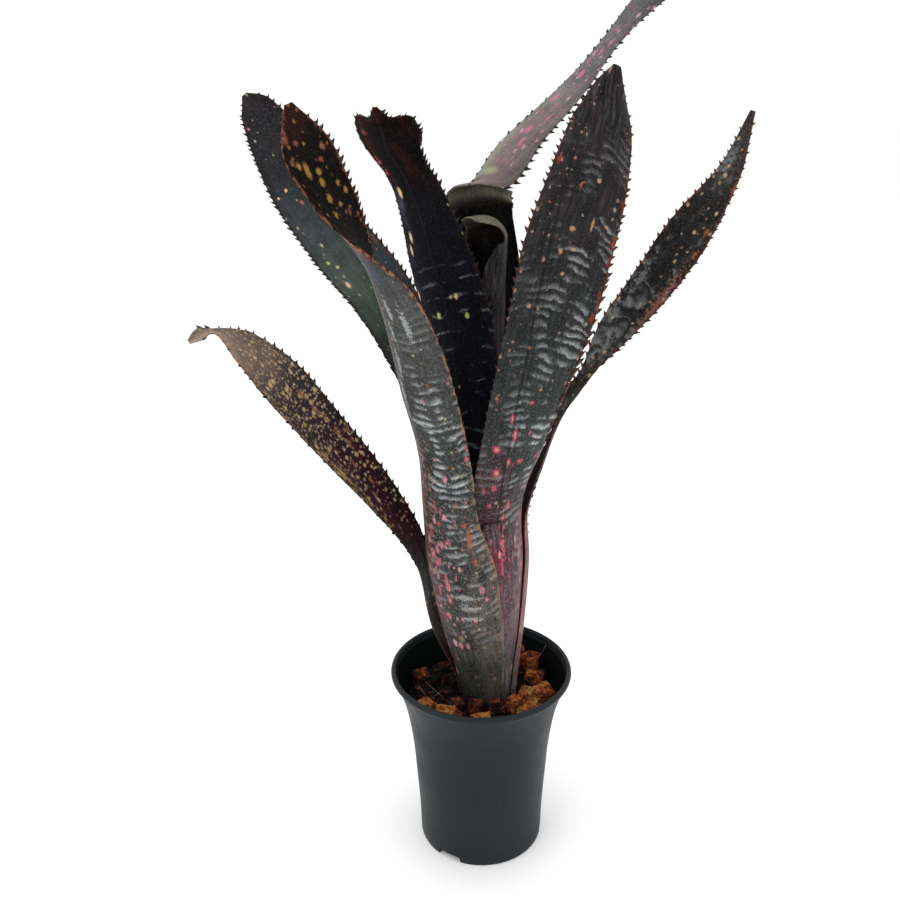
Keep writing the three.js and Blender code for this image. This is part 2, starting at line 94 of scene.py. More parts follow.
# Each leaf's rows from foot to tip, in mm and degrees: x, y, z of the midrib, flat width, angle
# that the section curls through, azimuth and elevation of the direction its upper side faces
LEAF_ROWS = {
    "leaf_front_left": sheath(-0.2, 40, [
        (101, 146), (125, 148, 1), (158, 145, 1), (205, 138, 0), (245, 115, -5)]) + [
        (-31, -30, 285, 54, 114, 44, 0),
        (-37, -48, 325, 50, 112, 50, 0),
        (-43, -62, 360, 45, 110, 48, 0),
        (-52, -76, 392, 40, 105, 34, 20),
        (-65, -85, 420, 33, 95, -6, 20),
        (-76, -90, 444, 28, 70, -44, 10),
        (-84, -89, 465, 23, 50, -76, 0),
        (-91, -86, 483, 4, 40, -86, 0),
    ],
    "leaf_front_right": sheath(2, 130, [(101, 150), (125, 140), (158, 130), (205, 120), (245, 105)]) + [
        (20, -36, 290, 46, 90, 112, 0),
        (26, -46, 330, 44, 66, 104, 0),
        (36, -46, 368, 48, 50, 98, 0),
        (46, -38, 408, 50.5, 44, 96, 0),
        (59, -22, 445, 46, 44, 98, 0),
        (67.5, -4, 471, 38, 50, 102, 0),
        (72, 8, 491, 19, 60, 104, 0),
        (75, 12, 501, 5, 60, 104, 0),
    ],
    "leaf_left": sheath(-1, -22, [(104, 60), (125, 60)]) + [
        (-32, 12, 158, 22, 60, -10, 0),
        (-40, 8, 205, 25, 60, -16, 10),
        (-53.5, 0, 237, 26, 66, -30, 20),
        (-73, -10, 269, 34, 66, -36, 34),
        (-94.5, -22, 303, 36, 60, -40, 34),
        (-116, -32, 336, 35, 60, -44, 36),
        (-134, -38, 358, 23, 60, -50, 44),
        (-145.5, -43, 368, 4, 70, -60, 50),
        (-152.5, -45.5, 367, 8, 60, -66, 45),
        (-158.5, -48, 363.5, 2.5, 60, -70, 40),
    ],
    "leaf_right": sheath(0, 215, [(101, 120), (125, 110), (158, 100), (205, 90), (240, 76)]) + [
        (38, 14, 275, 34, 90, 200, 0),
        (51, 14, 304, 20, 60, 192, 0),
        (64.5, 16, 325, 9, 50, 218, 0),
        (80, 18, 350, 20, 34, 256, 20),
        (102, 18, 379, 26, 30, 250, 20),
        (121, 12, 411, 27, 34, 246, 20),
        (138.5, 2, 445, 14, 40, 240, 10),
        (146.5, -4, 477, 3, 40, 230, 0),
    ],
    "leaf_back_left": sheath(2, -35, [(101, 120), (125, 120), (158, 118), (205, 116), (245, 108)]) + [
        (-30, 26, 292, 48, 90, -44, 0),
        (-45, 42, 333, 48, 84, -50, 0),
        (-65, 56, 370, 46, 70, -56, 0),
        (-91, 68, 402, 44, 56, -60, 0),
        (-113, 78, 434, 42, 50, -64, 0),
        (-129, 86, 464, 34, 50, -66, 0),
        (-139, 90, 481, 22, 50, -66, 0),
        (-146, 92, 489, 4, 50, -66, 0),
    ],
    "leaf_centre": sheath(4, 60, [(103, 200), (125, 190), (158, 170), (205, 150), (245, 140)]) + [
        (-11, -20, 285, 50, 130, 62, 0),
        (-13, -12, 325, 49, 110, 66, 0),
        (-17.5, -4, 365, 48, 100, 70, 0),
        (-28, 4, 405, 40, 90, 72, 0),
        (-37, 9, 434, 31, 84, 74, 10),
        (-44, 8, 448, 28, 80, 74, 24),
        (-51.4, 2, 461, 39, 80, 74, 44),
        (-53.5, -5, 471, 36, 80, 74, 64),
        (-55, -12, 474, 14, 80, 74, 80),
        (-56.5, -17, 481, 2.5, 60, 74, 70),
    ],
    "leaf_back_right": sheath(3, 235, [(103, 130), (125, 130), (158, 130), (205, 130), (245, 125)]) + [
        (18, 26, 290, 50, 130, 232, 0),
        (16, 36, 340, 50, 130, 236, 0),
        (12, 44, 390, 48, 130, 244, 0),
        (2, 50, 424, 46, 100, 262, -20),
        (1, 43, 438, 41, 80, 272, -80),
        (11, 49, 446, 34, 70, 60, -66),
        (27, 62, 463, 28, 50, 66, -56),
        (59, 75, 491, 17, 40, 69, -44),
        (83, 85, 519, 12, 40, 72, -37),
        (104, 91, 541, 15, 50, 87, -25),
        (125, 96, 557, 19, 60, 105, 5),
        (144, 100, 565, 14, 60, 115, 50),
        (160, 102, 564, 4, 60, 110, 70),
    ],
    "leaf_inner": sheath(5, 230, [(105, 260), (125, 260), (158, 230), (205, 200)]) + [
        (10, 14, 260, 48, 220, 228, 0),
        (10, 21, 320, 58, 300, 236, 0),
        (9, 25, 365, 64, 335, 240, 0),
        (9.3, 26.5, 388, 62, 325, 240, 0),
        (9.6, 27.2, 402, 53, 265, 240, 0),
        (8.5, 26, 412, 44, 195, 240, -12),
        (3, 20, 420, 34, 130, 240, -50),
        (-7, 10, 421, 12, 80, 240, -80),
    ],
    "sheath_stub": sheath(1, 107, [(101, 62), (125, 62), (158, 60), (205, 56), (236, 46), (246, 20)]),
}


# The smooth curve that the rows stand for
def curve_point(points, t, even):
    """Point of a Catmull-Rom curve: spaced evenly, or by the square root of each span's length."""
    place = t * (len(points) - 1)
    i = min(int(place), len(points) - 2)
    share = place - i
    p1, p2 = points[i], points[i + 1]
    p0 = points[i - 1] if i > 0 else 2 * p1 - p2
    p3 = points[i + 2] if i + 2 < len(points) else 2 * p2 - p1
    if even:
        m1, m2 = (p2 - p0) / 2, (p3 - p1) / 2
    else:
        d0, d1, d2 = (math.sqrt((b - a).length) for a, b in ((p0, p1), (p1, p2), (p2, p3)))
        m1 = ((p1 - p0) / d0 - (p2 - p0) / (d0 + d1) + (p2 - p1) / d1) * d1
        m2 = ((p2 - p1) / d1 - (p3 - p1) / (d1 + d2) + (p3 - p2) / d2) * d1
    return (p1 + m1 * share + (2 * (p1 - p2) + m1 + m2) * share ** 3
            + (3 * (p2 - p1) - 2 * m1 - m2) * share ** 2)


class Blade:
    """A leaf's midrib, widths and directions, read at any share of its length."""

    DIVISIONS = 400
    NUDGE = 0.0001

    def __init__(self, rows):
        self.route = [Vector(row[:3]) for row in rows]
        self.form = [Vector((row[3], row[4], 0)) for row in rows]
        self.faces = []
        for row in rows:
            azimuth, elevation = math.radians(row[5]), math.radians(row[6])
            self.faces.append(Vector((math.cos(azimuth) * math.cos(elevation),
                                      math.sin(azimuth) * math.cos(elevation), math.sin(elevation))))
        self.lengths = [0.0]
        last = self.route[0]
        for i in range(1, self.DIVISIONS + 1):
            here = curve_point(self.route, i / self.DIVISIONS, False)
            self.lengths.append(self.lengths[-1] + (here - last).length)
            last = here
        self.length = self.lengths[-1]

    def station(self, share):
        """Everything about the section at a share of the length."""
        goal = share * self.length
        i = next((k for k in range(1, self.DIVISIONS) if self.lengths[k] >= goal), self.DIVISIONS)
        low, high = self.lengths[i - 1], self.lengths[i]
        t = min(max((i - 1 + (goal - low) / (high - low)) / self.DIVISIONS, 0), 1)
        before = curve_point(self.route, max(t - self.NUDGE, 0), False)
        after = curve_point(self.route, min(t + self.NUDGE, 1), False)
        along = (after - before).normalized()
        facing = curve_point(self.faces, t, True)
        facing = (facing - facing.dot(along) * along).normalized()
        width, curl, _ = curve_point(self.form, t, True)
        return {"point": curve_point(self.route, t, False), "along": along, "facing": facing,
                "across": along.cross(facing), "width": width, "curl": math.radians(curl)}


def on_section(here, across, lift=0.0, out=0.0):
    """A point of a section: across runs from -1 to 1, lift is off the surface, out past the margin."""
    radius = here["width"] / here["curl"]
    angle = across * here["curl"] / 2 + math.copysign(1, across) * out / radius
    reach = radius - lift
    return (here["point"] + (radius - reach * math.cos(angle)) * here["facing"]
            + reach * math.sin(angle) * here["across"])


def deselect():
    """Leaves nothing selected, so that the next operator works on its own piece alone."""
    if bpy.context.object and bpy.context.object.mode != "OBJECT":
        bpy.ops.object.mode_set(mode="OBJECT")
    bpy.ops.object.select_all(action="DESELECT")


def only(piece):
    """Selects one piece alone and makes it the active one."""
    deselect()
    piece.select_set(True)
    bpy.context.view_layer.objects.active = piece


def apply_modifier(piece, kind, **settings):
    """Gives a piece a modifier with its settings, and applies it."""
    only(piece)
    made = piece.modifiers.new(kind.title(), kind)
    for name, value in settings.items():
        setattr(made, name, value)
    bpy.ops.object.modifier_apply(modifier=made.name)


def smooth(piece, degrees):
    """Smooth shading, with edges sharper than an angle kept."""
    only(piece)
    bpy.ops.object.shade_smooth_by_angle(angle=math.radians(degrees))


def join(pieces):
    """Joins pieces into the first one."""
    deselect()
    for piece in pieces:
        piece.select_set(True)
    bpy.context.view_layer.objects.active = pieces[0]
    bpy.ops.object.join()
    return pieces[0]


def dress(piece, *materials):
    """Gives a piece these materials in place of any that it has."""
    piece.data.materials.clear()
    for made in materials:
        piece.data.materials.append(made)


def finish_piece(piece, node):
    """The piece rides on the only body and stands for a CAD node, which it hides."""
    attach(piece, "root")
    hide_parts(node)


def colour(hex_value):
    """An sRGB hex value as linear RGBA."""
    parts = [int(hex_value[i:i + 2], 16) / 255 for i in (1, 3, 5)]
    linear = [p / 12.92 if p <= 0.04045 else ((p + 0.055) / 1.055) ** 2.4 for p in parts]
    return (*linear, 1.0)


def add(tree, kind, inputs=None, stops=None, **settings):
    """Adds a shader node with its settings, its inputs' values or links, and a ramp's stops."""
    made = tree.nodes.new("ShaderNode" + kind)
    for name, value in settings.items():
        setattr(made, name, value)
    if stops:
        ramp = made.color_ramp.elements
        while len(ramp) < len(stops):
            ramp.new(1.0)
        for element, (place, value) in zip(ramp, stops):
            element.position = place
            element.color = colour(value) if isinstance(value, str) else (value, value, value, 1.0)
    for name, value in (inputs or {}).items():
        if isinstance(value, bpy.types.NodeSocket):
            tree.links.new(value, made.inputs[name])
        elif isinstance(value, bpy.types.Node):
            tree.links.new(value.outputs[0], made.inputs[name])
        else:
            made.inputs[name].default_value = value
    return made


def new_material(name):
    """An empty material with its output, and the tree to build in."""
    made = bpy.data.materials.new(name)
    made.use_nodes = True
    made.node_tree.nodes.clear()
    return made, made.node_tree, made.node_tree.nodes.new("ShaderNodeOutputMaterial")


# Sockets by number: Mix takes colours in 6 and 7 and gives its result in 2. Map Range takes its value
# in 0, the range that it comes from in 1 and 2, and the range that it goes to in 3 and 4
MIX_A, MIX_B, MIX_RESULT = 6, 7, 2
EVEN = [(0, 1), (1, 1)]
# How dark a leaf's ground is against its swatches
GROUND_TONE = 0.72
# How far an outline of a spot or mark strays across and along the blade, in mm
STRAY = (1.6, 2.2, 0.0)
# Ends of the range that a keel's track is stored in, in mm from the midrib
KEEL_RANGE = 50


def spot_layer(tree, place, share, side, spec):
    """Spots from a cell pattern on the blade's own millimetres, small ones far more common than
    large ones, in loose clumps. Returns their mask and colour."""
    cell, stretch, seed = spec["cell"], spec.get("stretch", 1.3), spec["seed"]
    scaled = add(tree, "VectorMath", {
        0: place, 1: (1 / cell, 1 / (cell * stretch), 0), 2: (seed, 2 * seed, 0)}, operation="MULTIPLY_ADD")
    cells = add(tree, "TexVoronoi", {"Vector": scaled, "Scale": 1.0, "Randomness": 0.9},
                voronoi_dimensions="2D")
    parts = add(tree, "SeparateColor", {0: cells.outputs["Color"]})
    # Clumps are two or three cells wide
    clump = add(tree, "TexNoise", {"Vector": scaled, "Scale": 0.4, "Detail": 1.0})
    clump = add(tree, "MapRange", {0: clump, 1: 0.36, 2: 0.62, 3: 0.3, 4: 1.6})
    along = add(tree, "ValToRGB", {0: share}, stops=spec["along"])
    across = add(tree, "ValToRGB", {0: side}, stops=spec.get("across", EVEN))
    density = add(tree, "Math", {0: along, 1: across}, operation="MULTIPLY")
    density = add(tree, "Math", {0: density, 1: clump}, operation="MULTIPLY")
    chosen = add(tree, "Math", {0: parts.outputs[1], 1: density}, operation="LESS_THAN")
    size = add(tree, "Math", {0: parts.outputs[0], 1: spec.get("rare", 2.2)}, operation="POWER")
    low, high = spec["radius"]
    radius = add(tree, "MapRange", {0: size, 3: low / cell, 4: high / cell})
    inside = add(tree, "Math", {0: radius, 1: cells.outputs["Distance"]}, operation="SUBTRACT")
    edge = add(tree, "MapRange", {0: inside, 1: -0.25 / cell, 2: spec.get("soft", 0.35) / cell})
    mask = add(tree, "Math", {0: edge, 1: chosen}, operation="MULTIPLY")
    mask = add(tree, "Math", {0: mask, 1: spec.get("strength", 0.95)}, operation="MULTIPLY")
    last = max(len(spec["colours"]) - 1, 1)
    swatches = [(i / last, swatch) for i, swatch in enumerate(spec["colours"])]
    tint = add(tree, "ValToRGB", {0: parts.outputs[2]}, stops=swatches)
    # A spot is darker at its edge than in its middle
    ripe = add(tree, "MapRange", {0: inside, 2: 1.2 / cell, 3: 0.62, 4: 1.2})
    tint = add(tree, "VectorMath", {0: tint, 3: ripe}, operation="SCALE")
    return mask.outputs[0], tint.outputs[0]


def band_layer(tree, place, share, side, spec):
    """Cross-bands of pale scurf that bow across the leaf, feathered lengthwise and broken into
    short patches of flecks. Returns their mask. They sway over about 17 mm; feathers are 0.4 mm
    wide and 3 mm long, patches 11 by 18 mm, and flecks 0.8 mm."""
    parts = add(tree, "SeparateXYZ", {0: place})
    sway = add(tree, "TexNoise", {"Vector": place, "Scale": 0.06, "Detail": 2.0, "Roughness": 0.5})
    drawn = add(tree, "VectorMath", {0: place, 1: (2.4, 0.3, 1.0)}, operation="MULTIPLY")
    feather = add(tree, "TexNoise", {"Vector": drawn, "Scale": 1.0, "Detail": 3.0})
    bow = add(tree, "Math", {0: parts.outputs[0], 1: 2.0}, operation="POWER")
    level = parts.outputs[1]
    for pattern, reach in ((bow, spec.get("bow", 0.008)), (sway, spec.get("sway", 11.0)), (feather, 3.4)):
        level = add(tree, "Math", {0: pattern, 1: reach, 2: level}, operation="MULTIPLY_ADD")
    turn = add(tree, "Math", {0: level, 1: spec["pitch"]}, operation="DIVIDE")
    turn = add(tree, "Math", {0: turn}, operation="FRACT")
    wide = spec.get("wide", 0.68)
    crest = add(tree, "ValToRGB", {0: turn}, stops=[
        (0.0, 0.0), (wide * 0.2, 1.0), (wide * 0.45, 0.7), (wide, 0.0)])
    stretched = add(tree, "VectorMath", {0: place, 1: (0.09, 0.055, 1.0)}, operation="MULTIPLY")
    patch = add(tree, "TexNoise", {"Vector": stretched, "Scale": 1.0, "Detail": 3.0, "Roughness": 0.6})
    start = spec.get("patch", 0.45)
    patch = add(tree, "MapRange", {0: patch, 1: start, 2: start + 0.12})
    speckle = add(tree, "TexNoise", {"Vector": place, "Scale": 1.3, "Detail": 3.0, "Roughness": 0.75})
    speckle = add(tree, "MapRange", {0: speckle, 1: 0.38, 2: 0.58, 3: 0.35, 4: 1.0})
    along = add(tree, "ValToRGB", {0: share}, stops=spec["along"])
    across = add(tree, "ValToRGB", {0: side}, stops=spec.get("across", EVEN))
    mask = crest
    for factor in (patch, speckle, along, across):
        mask = add(tree, "Math", {0: mask, 1: factor}, operation="MULTIPLY")
    return mask.outputs[0]


def placed_marks(tree, place, spec):
    """Single marks at their own places on the blade, each given as mm across, mm along, half its
    width and half its length. Returns their mask."""
    nearest = 9.0
    for x, y, half_wide, half_long in spec["at"]:
        scaled = add(tree, "VectorMath", {0: place, 1: (1 / half_wide, 1 / half_long, 0)},
                     operation="MULTIPLY")
        away = add(tree, "VectorMath", {0: scaled, 1: (x / half_wide, y / half_long, 0)},
                   operation="DISTANCE")
        nearest = add(tree, "Math", {0: away.outputs["Value"], 1: nearest}, operation="MINIMUM").outputs[0]
    if "broken" in spec:
        crumbs = add(tree, "TexNoise", {"Vector": place, "Scale": spec["broken"], "Detail": 3.0,
                                        "Roughness": 0.6})
        crumbs = add(tree, "MapRange", {0: crumbs, 1: 0.35, 2: 0.65, 3: -0.8, 4: 0.8})
        nearest = add(tree, "Math", {0: nearest, 1: crumbs}, operation="ADD").outputs[0]
    return add(tree, "MapRange", {0: nearest, 1: 1.15, 2: spec.get("core", 0.7),
                                  4: spec.get("strength", 0.95)}).outputs[0]


def leaf_material(name, look):
    """Living bromeliad leaf: a leathery skin with fine lengthwise veins, coloured spots and bands of
    grey scurf. The eye sees a dark satin surface that turns pale and dull where the scurf lies."""
    made, tree, output = new_material(name)
    place = add(tree, "Attribute", attribute_name="blade_mm").outputs["Vector"]
    shares = add(tree, "Attribute", attribute_name="blade_share").outputs["Vector"]
    shares = add(tree, "SeparateXYZ", {0: shares})
    side = add(tree, "MapRange", {0: shares.outputs[0], 1: -1.0, 2: 1.0}).outputs[0]
    share = shares.outputs[1]
    # Every outline of a spot or mark runs a little unevenly
    uneven = add(tree, "TexNoise", {"Vector": place, "Scale": 0.9, "Detail": 2.0})
    uneven = add(tree, "VectorMath", {0: uneven.outputs["Color"], 1: (0.5, 0.5, 0.5)}, operation="SUBTRACT")
    bent = add(tree, "VectorMath", {0: uneven, 1: STRAY, 2: place}, operation="MULTIPLY_ADD").outputs[0]
    # Ground: tone along the leaf, clouds of 17 mm, veins 0.7 mm apart, grain of 0.8 mm, and shade
    # from side to side
    skin = add(tree, "ValToRGB", {0: share}, stops=look["ground"]).outputs[0]
    cloud = add(tree, "TexNoise", {"Vector": place, "Scale": 0.06, "Detail": 4.0, "Roughness": 0.6})
    drawn = add(tree, "VectorMath", {0: place, 1: (1.5, 0.04, 1.0)}, operation="MULTIPLY")
    veins = add(tree, "TexNoise", {"Vector": drawn, "Scale": 1.0, "Detail": 3.0, "Roughness": 0.65})
    grain = add(tree, "TexNoise", {"Vector": place, "Scale": 1.2, "Detail": 3.0, "Roughness": 0.65})
    tone = add(tree, "ValToRGB", {0: side}, stops=look.get("shade", EVEN))
    depths = ((cloud, look.get("cloud", 0.3)), (veins, 0.28), (grain, look.get("grain", 0.42)))
    for pattern, depth in depths:
        level = add(tree, "MapRange", {0: pattern, 1: 0.3, 2: 0.7, 3: 1 - depth, 4: 1 + depth})
        tone = add(tree, "Math", {0: tone, 1: level}, operation="MULTIPLY")
    tone = add(tree, "Math", {0: tone, 1: GROUND_TONE}, operation="MULTIPLY")
    # Blushes: soft clouds of another colour, drawn along the leaf
    long = add(tree, "VectorMath", {0: bent, 1: (1.0, 0.3, 1.0)}, operation="MULTIPLY")
    for blush in look.get("blushes", []):
        start = blush.get("from", 0.42)
        mask = add(tree, "TexNoise", {"Vector": long, "Scale": blush.get("scale", 0.12), "Detail": 4.0,
                                      "Roughness": 0.6})
        mask = add(tree, "MapRange", {0: mask, 1: start, 2: start + 0.2})
        for value, stops in ((share, blush["along"]), (side, blush.get("across", EVEN))):
            part = add(tree, "ValToRGB", {0: value}, stops=stops)
            mask = add(tree, "Math", {0: mask, 1: part}, operation="MULTIPLY")
        skin = add(tree, "Mix", {0: mask, MIX_A: skin, MIX_B: colour(blush["colour"])},
                   data_type="RGBA").outputs[MIX_RESULT]
    skin = add(tree, "VectorMath", {0: skin, 3: tone}, operation="SCALE").outputs[0]
    # Scurf: flecks of 1 mm, streaks 2 mm wide and 14 mm long, and cross-bands
    fleck = add(tree, "TexNoise", {"Vector": place, "Scale": 0.9, "Detail": 3.0, "Roughness": 0.6})
    fleck = add(tree, "MapRange", {0: fleck, 1: 0.5, 2: 0.8})
    dusted = add(tree, "ValToRGB", {0: share}, stops=look.get("dust", [(0, 0.1), (1, 0.05)]))
    scurf = add(tree, "Math", {0: fleck, 1: dusted}, operation="MULTIPLY").outputs[0]
    if "streaks" in look:
        combed = add(tree, "VectorMath", {0: bent, 1: (0.5, 0.07, 1.0)}, operation="MULTIPLY")
        streak = add(tree, "TexNoise", {"Vector": combed, "Scale": 1.0, "Detail": 4.0, "Roughness": 0.6})
        streak = add(tree, "MapRange", {0: streak, 1: 0.44, 2: 0.74})
        lying = add(tree, "ValToRGB", {0: share}, stops=look["streaks"])
        streak = add(tree, "Math", {0: streak, 1: lying}, operation="MULTIPLY")
        scurf = add(tree, "Math", {0: scurf, 1: streak}, operation="MAXIMUM").outputs[0]
    if "bands" in look:
        band = band_layer(tree, place, share, side, look["bands"])
        scurf = add(tree, "Math", {0: scurf, 1: band}, operation="MAXIMUM").outputs[0]
    # What lies on the ground, from the lowest coat up: scurf, spots, marks, rims and keels
    coats = [(scurf, colour(look.get("scurf", "#cdd1d2")))]
    coats += [spot_layer(tree, bent, share, side, layer) for layer in look.get("spots", [])]
    coats += [(placed_marks(tree, bent, group), colour(group["colour"])) for group in look.get("marks", [])]
    # Coloured or dry rims, broken into lengths
    gaps = add(tree, "TexNoise", {"Vector": place, "Scale": 0.16, "Detail": 3.0, "Roughness": 0.6})
    for rim in look.get("rims", []):
        low, high = (0.0, 1.0) if rim["side"] > 0 else (1.0, 0.0)
        start, stray = rim.get("from", 0.975), rim.get("ragged", 0.05)
        edge = add(tree, "MapRange", {0: side, 3: low, 4: high})
        strayed = add(tree, "MapRange", {0: gaps, 1: 0.3, 2: 0.7, 3: -stray, 4: stray})
        edge = add(tree, "Math", {0: edge, 1: strayed}, operation="ADD")
        edge = add(tree, "MapRange", {0: edge, 1: start, 2: start + 0.03, 4: rim.get("most", 0.8)})
        lying = add(tree, "ValToRGB", {0: share}, stops=rim["along"])
        edge = add(tree, "Math", {0: edge, 1: lying}, operation="MULTIPLY")
        coats.append((edge, colour(rim["colour"])))
    # Keels: fine creases that run along the leaf, dipped in the relief and drawn as a dark line of painted
    # shade
    relief = add(tree, "Math", {0: veins, 1: grain}, operation="ADD")
    relief = add(tree, "Math", {0: scurf, 1: 1.4, 2: relief}, operation="MULTIPLY_ADD")
    across_mm = add(tree, "SeparateXYZ", {0: bent}).outputs[0]
    for keel in look.get("keels", []):
        stops = [(at, (mm + KEEL_RANGE) / (2 * KEEL_RANGE)) for at, mm in keel["track"]]
        track = add(tree, "ValToRGB", {0: share}, stops=stops)
        track = add(tree, "MapRange", {0: track, 3: -KEEL_RANGE, 4: KEEL_RANGE})
        away = add(tree, "Math", {0: across_mm, 1: track}, operation="SUBTRACT")
        away = add(tree, "Math", {0: away}, operation="ABSOLUTE")
        line = add(tree, "MapRange", {0: away, 1: keel["wide"], 2: 0.1, 4: keel["most"]})
        relief = add(tree, "Math", {0: line, 1: -2.0, 2: relief}, operation="MULTIPLY_ADD")
        # The keel's dark colour is painted shade along the crease
        coats.append((line, colour(keel.get("colour", "#151314"))))
    for mask, tint in coats:
        skin = add(tree, "Mix", {0: mask, MIX_A: skin, MIX_B: tint},
                   data_type="RGBA").outputs[MIX_RESULT]
    # Pleats about 3 mm wide raise the skin most, then scurf, veins and grain
    pleats = add(tree, "VectorMath", {0: place, 1: (0.32, 0.01, 1.0)}, operation="MULTIPLY")
    pleats = add(tree, "TexNoise", {"Vector": pleats, "Scale": 1.0, "Detail": 1.0})
    relief = add(tree, "Math", {0: pleats, 1: 3.5, 2: relief}, operation="MULTIPLY_ADD")
    bump = add(tree, "Bump", {"Strength": 0.5, "Distance": 0.0005, "Height": relief})
    rough = add(tree, "MapRange", {0: scurf, 3: look.get("rough", 0.46), 4: 0.8})
    shader = add(tree, "BsdfPrincipled", {"Base Color": skin, "Roughness": rough, "Normal": bump,
                                          "IOR": 1.45, "Specular IOR Level": look.get("gloss", 0.09)})
    tree.links.new(shader.outputs[0], output.inputs[0])
    return made


def spine_material(name, root, tip):
    """Horny spine: its root keeps the margin's colour, and its point is dark and smooth."""
    made, tree, output = new_material(name)
    reach = add(tree, "Attribute", attribute_name="spine_reach").outputs["Fac"]
    tint = add(tree, "ValToRGB", {0: reach}, stops=[(0.0, root), (0.15, root), (0.42, tip), (1.0, tip)])
    shader = add(tree, "BsdfPrincipled", {"Base Color": tint, "Roughness": 0.5, "Specular IOR Level": 0.2})
    tree.links.new(shader.outputs[0], output.inputs[0])
    return made


# Swatches of the spots, and the root and the point of a spine
PINKS = ["#84404e", "#a8626c", "#bc888b", "#96606a"]
CORALS = ["#86503f", "#9c6c5c", "#ac8070", "#7a4436"]
OCHRES = ["#7c664a", "#94805c", "#a08a70", "#6c583e"]
ORANGES = ["#80604e", "#9c7c6a", "#a68878", "#8a6858", "#b09684"]
CREAMS = ["#b3a888", "#9a9470", "#bda68c"]
DARK_HORN = ("#1c1210", "#0b0808")
RED_HORN = ("#4a2419", "#110a09")
